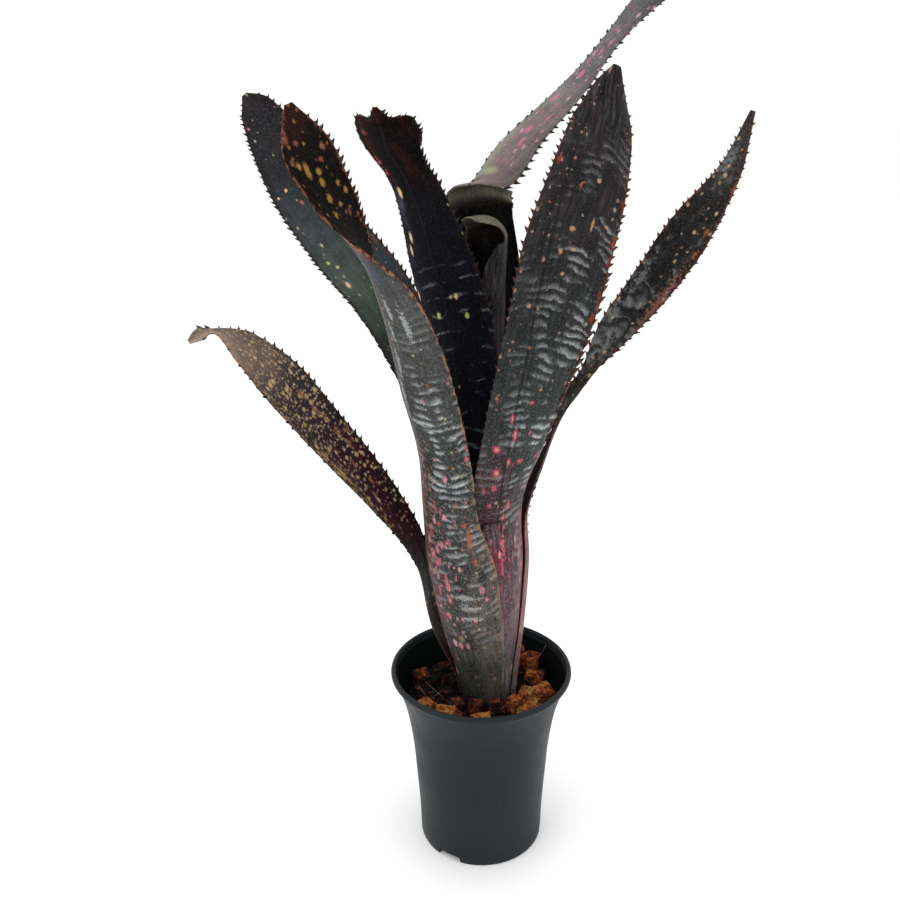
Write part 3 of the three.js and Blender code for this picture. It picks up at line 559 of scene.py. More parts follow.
# What each side of each leaf looks like. Along and across give stops of (share, strength), from the
# foot to the tip and from the first margin to the second. Cells, radii, pitches and the marks' places
# are in mm, and a keel's track is (share, mm from the midrib). A lower from or patch covers more, a
# higher rare makes large spots rarer, core is the solid share of a mark, and broken crumbles it
LOOKS = {
    "leaf_front_left": {
        "lower": {
            "ground": [(0, "#1e1f18"), (0.05, "#2c2e28"), (0.11, "#383833"), (0.18, "#343332"),
                       (0.27, "#26272a"), (0.42, "#2e3132"), (0.55, "#3c3e3d"), (0.72, "#474846"),
                       (0.84, "#4a4b4b"), (0.93, "#3c3c42"), (1, "#2c2a30")],
            "shade": [(0, 0.8), (0.1, 1), (0.55, 0.95), (0.75, 1.05), (1, 1.3)],
            "blushes": [
                {"colour": "#6f6256", "along": [(0, 0.6), (0.2, 0.7), (0.36, 0.5), (0.42, 0)],
                 "across": [(0, 0.9), (0.18, 0.6), (0.3, 0)], "from": 0.3},
                {"colour": "#8e8078", "along": [(0, 0), (0.2, 0.5), (0.5, 0.5), (0.62, 0)],
                 "across": [(0.6, 0), (0.72, 0.6), (1, 0.9)], "from": 0.36},
                {"colour": "#8a4e58", "along": [(0, 0), (0.12, 0.4), (0.2, 0.9), (0.38, 0.9), (0.46, 0)],
                 "across": [(0.5, 0), (0.68, 0.8), (1, 0.9)], "from": 0.4},
                {"colour": "#5a2433", "along": [(0, 0), (0.16, 0.2), (0.3, 0.7), (0.42, 0.3), (0.48, 0)],
                 "across": [(0.3, 0), (0.5, 0.6), (0.8, 0.8)], "from": 0.5},
            ],
            "bands": {"pitch": 5.6, "bow": -0.006, "patch": 0.46,
                      "along": [(0, 0), (0.1, 0), (0.16, 0.3), (0.3, 0.55), (0.44, 0.95), (0.56, 0.9),
                                (0.64, 0.35), (0.74, 0.08), (1, 0)],
                      "across": [(0, 0.9), (0.25, 1), (0.45, 0.95), (0.6, 0.6), (0.8, 0.55), (1, 0.8)]},
            "streaks": [(0, 0.04), (0.1, 0.1), (0.2, 0.08), (0.34, 0)],
            "dust": [(0, 0.1), (0.15, 0.28), (0.4, 0.28), (0.7, 0.12), (1, 0.06)],
            "spots": [
                {"cell": 4.4, "seed": 1.3, "radius": (0.8, 2.2), "stretch": 1.7, "rare": 1.6, "soft": 0.6,
                 "colours": PINKS + ["#c69294"],
                 "along": [(0, 0), (0.12, 0.3), (0.2, 0.8), (0.36, 0.95), (0.43, 0.35), (0.5, 0)],
                 "across": [(0, 0.05), (0.3, 0.2), (0.5, 0.85), (1, 1)]},
                {"cell": 2.7, "seed": 5.7, "radius": (0.4, 1.3), "stretch": 1.4,
                 "colours": CORALS + ["#a88a80", "#94505c"],
                 "along": [(0, 0), (0.14, 0.1), (0.3, 0.5), (0.38, 0.95), (0.46, 0.6), (0.54, 0.05)],
                 "across": [(0, 0.1), (0.4, 0.4), (0.56, 0.9), (1, 1)], "strength": 0.8},
                {"cell": 2.4, "seed": 15.2, "radius": (0.4, 1.1), "stretch": 1.6,
                 "colours": PINKS + ["#7c3444", "#b08088"],
                 "along": [(0, 0), (0.12, 0.2), (0.18, 0.6), (0.34, 0.7), (0.4, 0.1)],
                 "across": [(0, 0), (0.5, 0.15), (0.62, 0.7), (0.8, 0.9), (1, 0.6)], "strength": 0.75},
                {"cell": 5, "seed": 4.1, "radius": (0.35, 1), "stretch": 1.2, "colours": OCHRES + CREAMS,
                 "along": [(0, 0.08), (0.3, 0.15), (0.5, 0.45), (0.62, 0.5), (0.85, 0.4), (1, 0.3)],
                 "across": [(0, 0.5), (1, 1)]},
            ],
            "marks": [
                {"colour": "#96583f",
                 "at": [(-3.4, 158, 1.5, 4), (-5.5, 146, 1.6, 1.6), (-26.3, 138, 1.6, 8.5),
                        (-27.4, 120, 1.4, 2.2), (10.6, 153, 3, 4), (-24, 150, 1.5, 2.5)], "broken": 0.7,
                 "core": 0.6},
                {"colour": "#a84e5c",
                 "at": [(-11.4, 133, 1.8, 1.8), (3.9, 122, 2.2, 3), (0, 117, 2.4, 2.2), (-5.8, 105, 1.8, 6),
                        (-5.7, 92, 2, 3.6), (-1, 79, 3, 2.2), (2, 97, 1.2, 5)], "core": 0.5},
                {"colour": "#c48c8c",
                 "at": [(-11.4, 133, 0.8, 0.9), (3.9, 122, 0.9, 1.4), (0, 117, 1, 1), (-5.8, 105, 0.6, 2.6),
                        (-5.7, 92, 0.8, 1.6), (-1, 79, 1.4, 0.9)], "core": 0.2, "strength": 0.75},
                {"colour": "#a4a8ab",
                 "at": [(-9, 292, 1.6, 9), (-1, 300, 1.2, 7), (3, 285, 1, 6), (6, 262, 1.2, 9),
                        (9, 240, 1.4, 10), (1, 222, 6, 1.2)], "broken": 0.8, "strength": 0.7},
                {"colour": "#9c9c99", "at": [(-18, 95, 6.5, 1.7), (-19, 87, 6, 1.6), (-19, 79, 6, 1.6)],
                 "broken": 1.2, "strength": 0.8},
                {"colour": "#8f8266",
                 "at": [(-8, 62, 2.5, 3.4), (-25, 70, 1.4, 1.6), (-22, 55, 1.6, 2), (-3, 66, 1.6, 1.2)],
                 "core": 0.1, "strength": 0.7},
                {"colour": "#8e4436", "at": [(-13, 343, 2, 9)], "broken": 0.6},
                # The blue-grey mark is painted shade in the channel beside the rolled margin
                {"colour": "#38414c", "at": [(-9, 330, 3.4, 16)], "strength": 0.8},
            ],
            "rims": [
                {"side": -1, "colour": "#8b6a55", "from": 0.973, "most": 0.9,
                 "along": [(0, 0), (0.14, 0.5), (0.4, 0.9), (0.8, 1), (1, 1)]},
                {"side": 1, "colour": "#6a4038", "from": 0.983, "most": 0.8,
                 "along": [(0, 0), (0.45, 0.2), (0.6, 1), (1, 1)]},
            ],
        },
        "upper": {
            "ground": [(0, "#15110f"), (0.6, "#1f1819"), (0.75, "#26211f"), (0.83, "#0e0908"),
                       (0.96, "#100807"), (1, "#2c1812")],
            "gloss": 0.06,
            "grain": 0.3,
            "dust": [(0, 0.02), (1, 0.02)],
            "blushes": [{"colour": "#3a1710", "along": [(0.84, 0), (0.94, 0.2), (1, 0.8)], "from": 0.52}],
            "spots": [{"cell": 3.6, "seed": 7.9, "radius": (0.3, 1), "stretch": 1.3,
                       "colours": ["#7a5238", "#8a6238", "#6c4434", "#8a6e40"],
                       "along": [(0, 0.1), (0.7, 0.4), (0.9, 0.4), (1, 0.3)]}],
            "marks": [
                {"colour": "#8a6a2e",
                 "at": [(-4, 378, 1.5, 4.2), (-7.1, 381, 1.3, 2), (1.3, 376, 1.3, 2), (0.7, 371, 1.5, 2.4),
                        (8.3, 368, 1, 1.5), (0.7, 363, 1.6, 2.6), (10.8, 363, 1, 2.2), (5.2, 358, 0.9, 1.6),
                        (-0.8, 355, 1.3, 2)], "core": 0.5},
                {"colour": "#845040",
                 "at": [(-3.8, 391, 1.3, 1.5), (7.4, 386, 1.3, 2), (4.5, 381, 1.2, 1.6), (6.9, 353, 0.8, 1.4),
                        (-9.5, 383, 1.2, 1.8), (13.4, 348, 1, 1.6), (-8, 396, 1.6, 5), (9, 352, 1, 2.4)],
                 "core": 0.3, "strength": 0.85},
            ],
            "rims": [{"side": s, "colour": "#84523a", "from": 0.974, "most": 0.8, "ragged": 0.05,
                      "along": [(0, 0.3), (0.6, 0.9), (1, 1)]} for s in (-1, 1)],
        },
    },
    "leaf_front_right": {
        "lower": {
            "ground": [(0, "#403c3c"), (0.12, "#4a4244"), (0.24, "#3a3638"), (0.36, "#262a2b"),
                       (0.5, "#303433"), (0.62, "#292c2c"), (0.74, "#1c1e1f"), (0.86, "#151417"),
                       (0.96, "#100d0e"), (1, "#1c1412")],
            "shade": [(0, 0.9), (0.3, 1.05), (0.66, 0.9), (0.78, 0.75), (1, 0.95)],
            "blushes": [
                {"colour": "#571a30", "along": [(0, 0), (0.24, 0.2), (0.34, 0.85), (0.43, 0.6), (0.5, 0)],
                 "across": [(0.4, 0), (0.6, 0.8), (1, 0.8)], "from": 0.36},
                {"colour": "#a0646c", "along": [(0, 0.3), (0.15, 0.7), (0.36, 0.7), (0.44, 0)],
                 "across": [(0, 1), (0.3, 0.6), (0.5, 0)], "from": 0.4},
                {"colour": "#2a1820", "along": [(0.6, 0), (0.8, 0.6), (1, 0.7)], "from": 0.4},
            ],
            "bands": {"pitch": 5.4, "bow": 0.01, "patch": 0.47,
                      "along": [(0, 0), (0.14, 0), (0.26, 0.4), (0.38, 0.9), (0.5, 0.95), (0.62, 0.6),
                                (0.76, 0.5), (0.86, 0.25), (0.95, 0)],
                      "across": [(0, 0.9), (0.25, 1), (0.5, 0.8), (0.7, 0.35), (0.85, 0.25), (1, 0.4)]},
            "streaks": [(0, 0.3), (0.12, 0.24), (0.3, 0.12), (0.4, 0.04), (0.84, 0.04), (0.95, 0.08)],
            "dust": [(0, 0.3), (0.2, 0.3), (0.46, 0.24), (0.6, 0.1), (0.8, 0.06), (1, 0.02)],
            "spots": [
                {"cell": 4.2, "seed": 21.3, "radius": (0.7, 1.8), "stretch": 2.6, "rare": 1.4, "soft": 0.6,
                 "colours": PINKS + ["#cc9a9a"],
                 "along": [(0, 0), (0.12, 0.3), (0.22, 0.9), (0.4, 0.9), (0.47, 0.2), (0.52, 0)],
                 "across": [(0, 1), (0.3, 0.7), (0.42, 0.15), (0.6, 0.25), (1, 0.3)]},
                {"cell": 4.6, "seed": 8.7, "radius": (0.35, 1.3), "stretch": 1.15, "rare": 2.8,
                 "colours": ORANGES,
                 "along": [(0, 0), (0.42, 0.05), (0.5, 0.14), (0.7, 0.22), (0.9, 0.2), (1, 0.1)],
                 "across": [(0, 0.9), (0.15, 0.5), (0.3, 0.4), (0.6, 0.5), (0.72, 1), (1, 1)]},
                {"cell": 3.2, "seed": 3.9, "radius": (0.35, 1.1), "stretch": 1.25,
                 "colours": CORALS + ORANGES,
                 "along": [(0, 0), (0.45, 0.1), (0.6, 0.3), (0.95, 0.45), (1, 0.3)],
                 "across": [(0, 1), (0.08, 0.7), (0.14, 0), (0.7, 0), (0.8, 0.5), (1, 1)]},
            ],
            "marks": [
                {"colour": "#ac505e",
                 "at": [(-1.1, 232, 1.4, 1.6), (7.7, 221, 1.4, 3.4), (4.5, 211, 1.6, 4.6),
                        (13.6, 200, 2.6, 3), (5.8, 192, 1.5, 3.2), (-1.2, 192, 2.2, 2), (11.7, 184, 2.4, 3.4),
                        (12, 173, 1.6, 2.6), (2.5, 157, 1.6, 2), (4, 149, 1.9, 2.8), (13.7, 160, 1.4, 1.8),
                        (-14.4, 141, 1.9, 4), (-17, 133, 1.6, 3.6), (-12.6, 123, 1.6, 4.5),
                        (-20, 122, 1.8, 9), (-22, 100, 2, 16), (-14, 108, 1.5, 5)], "core": 0.45},
                {"colour": "#a87a5e",
                 "at": [(-7.4, 334, 0.8, 4.2), (2.5, 328, 1.7, 1.6), (-16, 336, 1.2, 1.2),
                        (5.1, 315, 1.3, 1.5), (-1.3, 318, 1.2, 1.1), (1.3, 304, 1.1, 1.2), (-4, 240, 1, 1),
                        (9, 262, 1, 1.1)], "core": 0.5},
                {"colour": "#7c3222",
                 "at": [(-23, 330, 1.6, 4), (-24, 318, 2, 3.2), (-23.5, 296, 1.6, 3.4), (-22, 285, 1.6, 2),
                        (22.5, 372, 1, 3.4), (20, 362, 0.9, 2.6), (-22.5, 352, 1.3, 3)], "broken": 0.6,
                 "core": 0.5},
                {"colour": "#d09a9c",
                 "at": [(4.5, 211, 0.7, 2.4), (2.5, 157, 0.7, 0.9), (4, 149, 0.8, 1.3),
                        (-14.4, 141, 0.8, 1.9), (-17, 133, 0.6, 1.6), (-14, 108, 0.5, 3),
                        (7.7, 221, 0.6, 1.6), (13.6, 200, 1.2, 1.4), (11.7, 184, 1.1, 1.5),
                        (-20, 122, 0.7, 5), (-22, 100, 0.8, 10), (5.8, 192, 0.6, 1.5)], "core": 0.2,
                 "strength": 0.7},
                {"colour": "#8d5448", "at": [(5, 352, 0.9, 1.6), (17.5, 402, 1.3, 3)], "broken": 0.8},
                {"colour": "#8a6a58", "at": [(3.5, 424, 0.7, 3.6)]},
            ],
            "rims": [
                {"side": -1, "colour": "#5c2a1c", "from": 0.972, "most": 0.8, "ragged": 0.06,
                 "along": [(0, 0), (0.45, 0.1), (0.6, 0.8), (1, 0.6)]},
                {"side": -1, "colour": "#cfd2d3", "from": 0.98, "most": 0.85, "ragged": 0.03,
                 "along": [(0, 0), (0.36, 0.2), (0.45, 0.9), (0.54, 0.6), (0.58, 0)]},
                {"side": 1, "colour": "#3a2420", "from": 0.978, "most": 0.7,
                 "along": [(0, 0), (0.45, 0.2), (1, 0.8)]},
            ],
            "keels": [
                {"track": [(0.44, 7.5), (0.51, 6.4), (0.58, 7.9), (0.655, 10.9), (0.74, 11.4), (0.8, 13.3),
                           (0.9, 13.5)], "wide": 1, "most": 0.75},
                {"track": [(0.3, 3), (0.51, 3.4), (0.58, 5), (0.655, 7.6), (0.74, 8), (0.8, 8.4), (1, 6)],
                 "wide": 0.7, "most": 0.5},
            ],
            "rough": 0.5,
        },
        "upper": {
            "ground": [(0, "#141212"), (1, "#1c1214")],
            "spots": [{"cell": 5.2, "seed": 18.7, "radius": (0.5, 1.3), "colours": OCHRES,
                       "along": [(0, 0), (0.5, 0.2), (1, 0.4)]}],
            "rims": [{"side": s, "colour": "#6a3420",
                      "along": [(0, 0), (0.5, 0.8), (1, 0.8)]} for s in (-1, 1)],
        },
    },
    "leaf_left": {
        "upper": {
            "ground": [(0, "#5c3e3c"), (0.16, "#4a3230"), (0.22, "#2a2022"), (0.3, "#262022"),
                       (0.42, "#1d1216"), (0.55, "#261820"), (0.7, "#33292e"), (0.8, "#443a3a"),
                       (0.88, "#7a695f"), (0.95, "#a08e84"), (1, "#a8968c")],
            "shade": [(0, 1.1), (0.3, 1), (0.75, 0.85), (1, 0.7)],
            "blushes": [
                {"colour": "#460f26", "along": [(0.3, 0), (0.42, 0.9), (0.6, 0.9), (0.7, 0)], "from": 0.38},
                {"colour": "#84705e", "along": [(0.78, 0), (0.88, 0.5), (1, 0.9)], "from": 0.42},
            ],
            "dust": [(0, 0.12), (0.5, 0.04), (1, 0.1)],
            "spots": [
                {"cell": 3.5, "seed": 3.4, "radius": (0.6, 1.6), "stretch": 1.3,
                 "colours": ["#a08664", "#b89e80", "#b09a6a", "#9c806c"],
                 "along": [(0, 0), (0.4, 0.1), (0.5, 0.5), (0.66, 0.8), (0.85, 1), (1, 0.3)]},
                {"cell": 2.2, "seed": 9.4, "radius": (0.4, 0.95), "stretch": 1.2,
                 "colours": ["#9a8468", "#bca284", "#ac907a"],
                 "along": [(0, 0), (0.45, 0.1), (0.6, 0.4), (0.76, 0.8), (0.86, 1), (0.94, 1), (1, 0.2)],
                 "across": [(0, 1), (0.6, 0.6), (1, 0.9)]},
                {"cell": 5.5, "seed": 6.1, "radius": (0.6, 1.3), "stretch": 2.8,
                 "colours": ["#86543f", "#906448", "#74404a"],
                 "along": [(0, 0), (0.38, 0.1), (0.48, 0.6), (0.62, 0.6), (0.7, 0.1)],
                 "across": [(0, 0.4), (0.5, 0.8), (0.75, 1), (1, 0.5)], "strength": 0.85},
                {"cell": 2.8, "seed": 16.1, "radius": (0.6, 1.3), "stretch": 1.8,
                 "colours": ["#947e40", "#a08a4e"],
                 "along": [(0, 0), (0.4, 0.2), (0.5, 0.9), (0.6, 0.6), (0.72, 0.2), (1, 0.3)],
                 "across": [(0, 1), (0.16, 0.8), (0.26, 0), (1, 0)]},
            ],
            "marks": [
                {"colour": "#8e6248",
                 "at": [(7.2, 233, 1.6, 3), (9, 225, 1.5, 4), (9, 213, 2, 3.6), (14.3, 209, 2, 2.2),
                        (9.8, 201, 1.4, 4), (6.3, 247, 1.6, 3.2), (2.6, 191, 1.3, 4.5)], "broken": 0.5,
                 "core": 0.4, "strength": 0.85},
                {"colour": "#a08444",
                 "at": [(-12.6, 215, 1.5, 2.6), (-12.4, 201, 1.6, 4.5), (-13, 190, 1.3, 4),
                        (-6.3, 235, 1.6, 1.4)], "broken": 0.6, "core": 0.5},
            ],
            "rims": [
                {"side": -1, "colour": "#6a4a2c", "from": 0.968,
                 "along": [(0, 0), (0.4, 0.4), (0.6, 0.9), (1, 0.6)]},
                {"side": 1, "colour": "#2a1614", "from": 0.94,
                 "along": [(0, 0), (0.3, 0.8), (0.8, 0.8), (1, 0)]},
            ],
        },
        "lower": {
            "ground": [(0, "#7a5a58"), (0.14, "#7c5652"), (0.22, "#4a3432"), (0.5, "#251b1b"),
                       (0.8, "#4a4040"), (0.93, "#8a7a70"), (1, "#9c8c82")],
            "dust": [(0, 0.2), (1, 0.3)],
            "spots": [{"cell": 4.6, "seed": 13.4, "radius": (0.4, 1.2), "colours": OCHRES,
                       "along": [(0, 0), (0.4, 0.2), (1, 0.5)]}],
        },
    },
    "leaf_right": {
        "lower": {
            "ground": [(0, "#7a6a66"), (0.2, "#8a6c6e"), (0.34, "#6a4a4c"), (0.44, "#3c2a2b"),
                       (0.6, "#2c2526"), (1, "#38302f")],
            "blushes": [{"colour": "#b0707a",
                         "along": [(0, 0), (0.12, 0.5), (0.24, 0.8), (0.34, 0.4), (0.4, 0)], "from": 0.4}],
            "dust": [(0, 0.3), (0.5, 0.1), (1, 0.1)],
            "spots": [
                {"cell": 4.2, "seed": 22.4, "radius": (0.7, 1.7), "stretch": 3, "rare": 1.4, "colours": PINKS,
                 "along": [(0, 0), (0.08, 0.4), (0.26, 0.9), (0.36, 0.5), (0.42, 0)]},
                {"cell": 4.6, "seed": 15.4, "radius": (0.4, 1.2), "colours": OCHRES,
                 "along": [(0, 0), (0.4, 0.2), (1, 0.4)]},
            ],
        },
        "upper": {
            "ground": [(0, "#6a5a58"), (0.25, "#5a4244"), (0.36, "#3a2426"), (0.46, "#241a1a"),
                       (0.58, "#33302e"), (0.7, "#1c1b1c"), (0.85, "#1b1919"), (0.95, "#302c2c"),
                       (1, "#3a2e2e")],
            "blushes": [
                {"colour": "#a9565e", "along": [(0, 0), (0.15, 0.7), (0.3, 0.6), (0.38, 0)], "from": 0.45},
                {"colour": "#5a554e", "along": [(0.46, 0), (0.56, 0.8), (0.66, 0.2), (0.9, 0.3), (1, 0.6)],
                 "from": 0.5, "scale": 0.3},
            ],
            "bands": {"pitch": 13, "sway": 50, "bow": 0.02, "patch": 0.52, "wide": 0.8,
                      "along": [(0, 0), (0.45, 0.1), (0.6, 0.4), (0.9, 0.2), (1, 0.2)]},
            "dust": [(0, 0.2), (0.5, 0.06), (0.8, 0.06), (1, 0.12)],
            "spots": [{"cell": 4.3, "seed": 5.2, "radius": (0.4, 1.25), "stretch": 1.2,
                       "colours": ["#a07c58", "#b0967a", "#a08c64", "#946a4e", "#b49c84"],
                       "along": [(0, 0), (0.45, 0.15), (0.55, 0.3), (0.9, 0.36), (1, 0.2)]}],
            "marks": [
                {"colour": "#8e9496",
                 "at": [(-2.7, 383, 3, 12), (-7.3, 275, 3.2, 9), (0.9, 257, 3, 9), (-8, 300, 2.4, 10)],
                 "broken": 0.4, "core": 0, "strength": 0.4},
                {"colour": "#7a5048", "at": [(10, 296, 2.4, 20)], "broken": 0.6, "strength": 0.8},
                {"colour": "#8c5026", "at": [(8, 372, 1.3, 3), (11, 330, 1, 2.5), (9, 344, 0.9, 2)],
                 "broken": 0.7},
            ],
            "rims": [
                {"side": 1, "colour": "#6a3220", "from": 0.96, "ragged": 0.08,
                 "along": [(0, 0), (0.55, 0.6), (1, 0.9)]},
                {"side": -1, "colour": "#7a4424", "from": 0.968, "along": [(0, 0), (0.55, 0.5), (1, 0.8)]},
            ],
        },
    },
    "leaf_back_left": {
        "upper": {
            "ground": [(0, "#1c1a18"), (0.35, "#1e1f1b"), (0.52, "#222722"), (0.66, "#485149"),
                       (0.77, "#42484a"), (0.88, "#232226"), (1, "#242024")],
            "shade": [(0, 0.9), (0.25, 1.2), (0.6, 1), (1, 0.7)],
            "blushes": [
                {"colour": "#2c4434", "along": [(0.4, 0), (0.6, 0.6), (0.78, 0.6), (0.86, 0)],
                 "across": [(0.2, 0), (0.5, 0.8), (0.9, 0.6)], "from": 0.42},
                {"colour": "#5c3036", "along": [(0.4, 0), (0.5, 0.9), (0.84, 0.8), (0.9, 0)],
                 "across": [(0.6, 0), (0.68, 0.95), (0.74, 0.8), (0.78, 0)], "from": 0.2},
                # The blue-grey blush is painted shade on the inner part past the maroon band
                {"colour": "#3c444c", "along": [(0.5, 0), (0.6, 0.9), (0.8, 0.9), (0.86, 0)],
                 "across": [(0.72, 0), (0.78, 0.95), (1, 0.9)], "from": 0.2},
            ],
            "dust": [(0, 0.03), (1, 0.06)],
            "spots": [
                {"cell": 6.4, "seed": 7.5, "radius": (0.4, 1.2), "stretch": 1.25, "colours": CREAMS,
                 "along": [(0, 0), (0.5, 0.1), (0.75, 0.16), (1, 0.1)]},
                {"cell": 3.4, "seed": 17.5, "radius": (0.3, 0.9), "stretch": 1.25,
                 "colours": CREAMS + ORANGES, "along": [(0, 0), (0.5, 0.1), (0.8, 0.35), (1, 0.3)],
                 "across": [(0, 1), (0.16, 0.8), (0.24, 0), (0.7, 0), (0.85, 0.8), (1, 1)]},
            ],
            "marks": [
                {"colour": "#d0b08c",
                 "at": [(-9.4, 369, 1.2, 1.2), (-17, 366, 0.9, 0.9), (-13.6, 298, 1.4, 2.8)]},
                {"colour": "#a8605c", "at": [(-4.3, 358, 0.9, 1.6)]},
                {"colour": "#a9a860", "at": [(-14.5, 317, 1.2, 1.6), (-11, 312, 1.4, 1.4)]},
            ],
            "rims": [
                {"side": 1, "colour": "#6a3f30", "from": 0.948, "ragged": 0.08,
                 "along": [(0, 0), (0.7, 0.4), (1, 1)]},
                {"side": -1, "colour": "#241a18", "from": 0.978, "along": [(0, 0), (0.5, 0.7), (1, 1)]},
            ],
        },
        "lower": {
            "ground": [(0, "#4a4542"), (0.4, "#343634"), (1, "#303033")],
            "bands": {"pitch": 6.4, "along": [(0, 0), (0.2, 0.4), (0.5, 0.8), (0.8, 0.3), (1, 0)]},
            "dust": [(0, 0.4), (1, 0.3)],
            "spots": [{"cell": 5.2, "seed": 19.7, "radius": (0.5, 1.5), "colours": PINKS + ORANGES,
                       "along": [(0, 0.1), (0.5, 0.3), (1, 0.3)]}],
        },
    },
    "leaf_centre": {
        "lower": {
            "ground": [(0, "#24201f"), (0.35, "#121217"), (0.55, "#0c0d16"), (0.75, "#0c0c14"),
                       (0.84, "#121014"), (0.89, "#0c0608"), (1, "#150708")],
            # The bright step in shade near 0.82 and the blue-grey blush paint a sheen of reflected light
            # along a strip near one margin
            "shade": [(0, 1), (0.55, 0.9), (0.72, 1.1), (0.82, 2.2), (0.93, 1.9), (1, 0.9)],
            "blushes": [
                {"colour": "#38120f", "along": [(0.84, 0), (0.92, 0.8), (1, 0.9)], "from": 0.46},
                {"colour": "#3c434c", "along": [(0.5, 0), (0.66, 0.5), (0.84, 0.8), (0.88, 0)],
                 "across": [(0.74, 0), (0.84, 0.7), (0.94, 0.5)], "from": 0.42},
            ],
            "bands": {"pitch": 9.5, "bow": 0.004, "patch": 0.5, "wide": 0.2,
                      "along": [(0, 0), (0.4, 0.2), (0.6, 0.3), (0.7, 0.34), (0.76, 0)]},
            "dust": [(0, 0.02), (1, 0.02)],
            "spots": [{"cell": 9, "seed": 11.5, "radius": (0.5, 1.1), "stretch": 1.8,
                       "colours": ["#c9b486", "#a8a860"],
                       "along": [(0, 0), (0.45, 0.2), (0.85, 0.25), (0.92, 0)]}],
            "marks": [
                {"colour": "#d2b68e",
                 "at": [(9, 344, 1.5, 3.8), (12, 318, 1.3, 3.4), (14.6, 311, 1, 3.4), (20.6, 285, 0.8, 4)],
                 "core": 0.5},
                {"colour": "#a8b064", "at": [(7.2, 270, 1.3, 2.4), (-9.6, 267, 1.3, 1.8)], "core": 0.5},
                {"colour": "#a84a50", "at": [(12.5, 363, 1.4, 2.4), (11, 356, 0.8, 1.6)], "broken": 0.6},
                {"colour": "#8e4a3c", "at": [(13, 378, 2.4, 1.8)], "core": 0.2, "strength": 0.6},
            ],
            "rims": [{"side": s, "colour": "#3a2420", "from": 0.973,
                      "along": [(0, 0), (0.5, 0.5), (1, 0.8)]} for s in (-1, 1)],
            "keels": [{"track": [(0.4, 1), (0.7, 2), (1, 1)], "wide": 0.8, "colour": "#1c1c24", "most": 0.5}],
            "cloud": 0.35,
            "rough": 0.46,
            "gloss": 0.05,
        },
        "upper": {"ground": [(0, "#0e0b0d"), (0.9, "#1a0e10"), (0.97, "#4a4a30"), (1, "#7d7a4a")]},
    },
    "leaf_back_right": {
        "lower": {
            "ground": [(0, "#4a4644"), (0.5, "#3a3032"), (0.6, "#5a5448"), (0.63, "#6a625c"),
                       (0.66, "#726868"), (0.8, "#6e676a"), (0.92, "#544e50"), (1, "#332c2e")],
            "shade": [(0, 0.85), (0.3, 1), (1, 1.15)],
            "blushes": [
                {"colour": "#77585a", "along": [(0.58, 0), (0.63, 0.7), (0.72, 0.4), (0.8, 0)], "from": 0.36},
                # The olive blush is a painted highlight where the hood's fold faces up
                {"colour": "#7c8068", "along": [(0.58, 0), (0.62, 0.9), (0.7, 0.7), (0.76, 0)],
                 "across": [(0.6, 0), (0.8, 0.9), (1, 1)], "from": 0.3},
                {"colour": "#45454a", "along": [(0.7, 0), (0.85, 0.7), (1, 0.8)], "from": 0.45},
            ],
            "dust": [(0, 0.1), (0.6, 0.1), (1, 0.14)],
            "spots": [{"cell": 3.2, "seed": 12.9, "radius": (0.4, 1), "stretch": 2.6,
                       "colours": ["#a04468", "#b0607c", "#b08a90", "#c0a4a8"],
                       "along": [(0, 0), (0.62, 0), (0.66, 0.35), (0.76, 0.6), (0.86, 0.7), (0.93, 0.2)]}],
            "marks": [
                {"colour": "#b8808c",
                 "at": [(0, 389, 2.2, 4.6), (4, 416, 1.6, 4.4), (1.5, 437, 1.4, 4.8), (-3, 380, 1.5, 4.4)],
                 "core": 0.1, "strength": 0.7},
                {"colour": "#b45674",
                 "at": [(0, 389, 1.5, 3), (4, 416, 1.2, 2.8), (1.5, 437, 1.1, 3), (-3, 380, 0.9, 2.6),
                        (-4, 402, 0.7, 3), (0, 455, 0.7, 4), (3, 447, 0.6, 3), (-2, 463, 0.5, 4),
                        (1, 472, 0.5, 3)], "core": 0.4},
                # The olive mark is a painted highlight on the hood
                {"colour": "#8a8c66", "at": [(1.8, 352, 7, 5)], "core": 0.3, "strength": 0.8},
            ],
            "rims": [
                {"side": -1, "colour": "#4a4044", "from": 0.978, "along": [(0, 0.2), (1, 0.6)]},
                {"side": 1, "colour": "#5a5a48", "from": 0.968, "along": [(0, 0), (0.6, 0.8), (1, 0.4)]},
            ],
            "rough": 0.42,
            "gloss": 0.25,
        },
        "upper": {
            # Stops from 0.53 to 0.64 paint the hood's fold: painted shade in the hollow under its lip, then a
            # painted highlight along the lip and where it faces up
            "ground": [(0, "#120d0e"), (0.4, "#100a0c"), (0.53, "#0e0a0a"), (0.57, "#0b0808"),
                       (0.58, "#1a1613"), (0.588, "#4a453e"), (0.597, "#a09a8a"), (0.603, "#8e8878"),
                       (0.609, "#3c3832"), (0.613, "#8c8870"), (0.64, "#7a7668"), (1, "#2c2829")],
            "shade": [(0, 1.5), (0.08, 1.1), (0.3, 0.8), (0.8, 0.9), (1, 1.2)],
            "blushes": [{"colour": "#5a525a", "along": [(0, 0.3), (0.5, 0.6), (0.56, 0)],
                         "across": [(0, 1), (0.12, 0.6), (0.2, 0)], "from": 0.3}],
            "marks": [
                {"colour": "#8a3a48", "at": [(-21.5, 318, 1.8, 8), (-21.5, 300, 1.6, 12)], "broken": 0.5,
                 "strength": 0.8},
                # The olive mark is a painted highlight on the hood
                {"colour": "#7a7a60", "at": [(12, 341, 6, 3)], "core": 0.2, "strength": 0.7},
            ],
            "dust": [(0, 0.02), (0.55, 0.04), (0.6, 0.1), (1, 0.1)],
            "rough": 0.44,
            "gloss": 0.08,
        },
    },
    "leaf_inner": {
        "lower": {
            "ground": [(0, "#3a3735"), (0.5, "#100e10"), (0.7, "#121013"), (0.84, "#1a171a"),
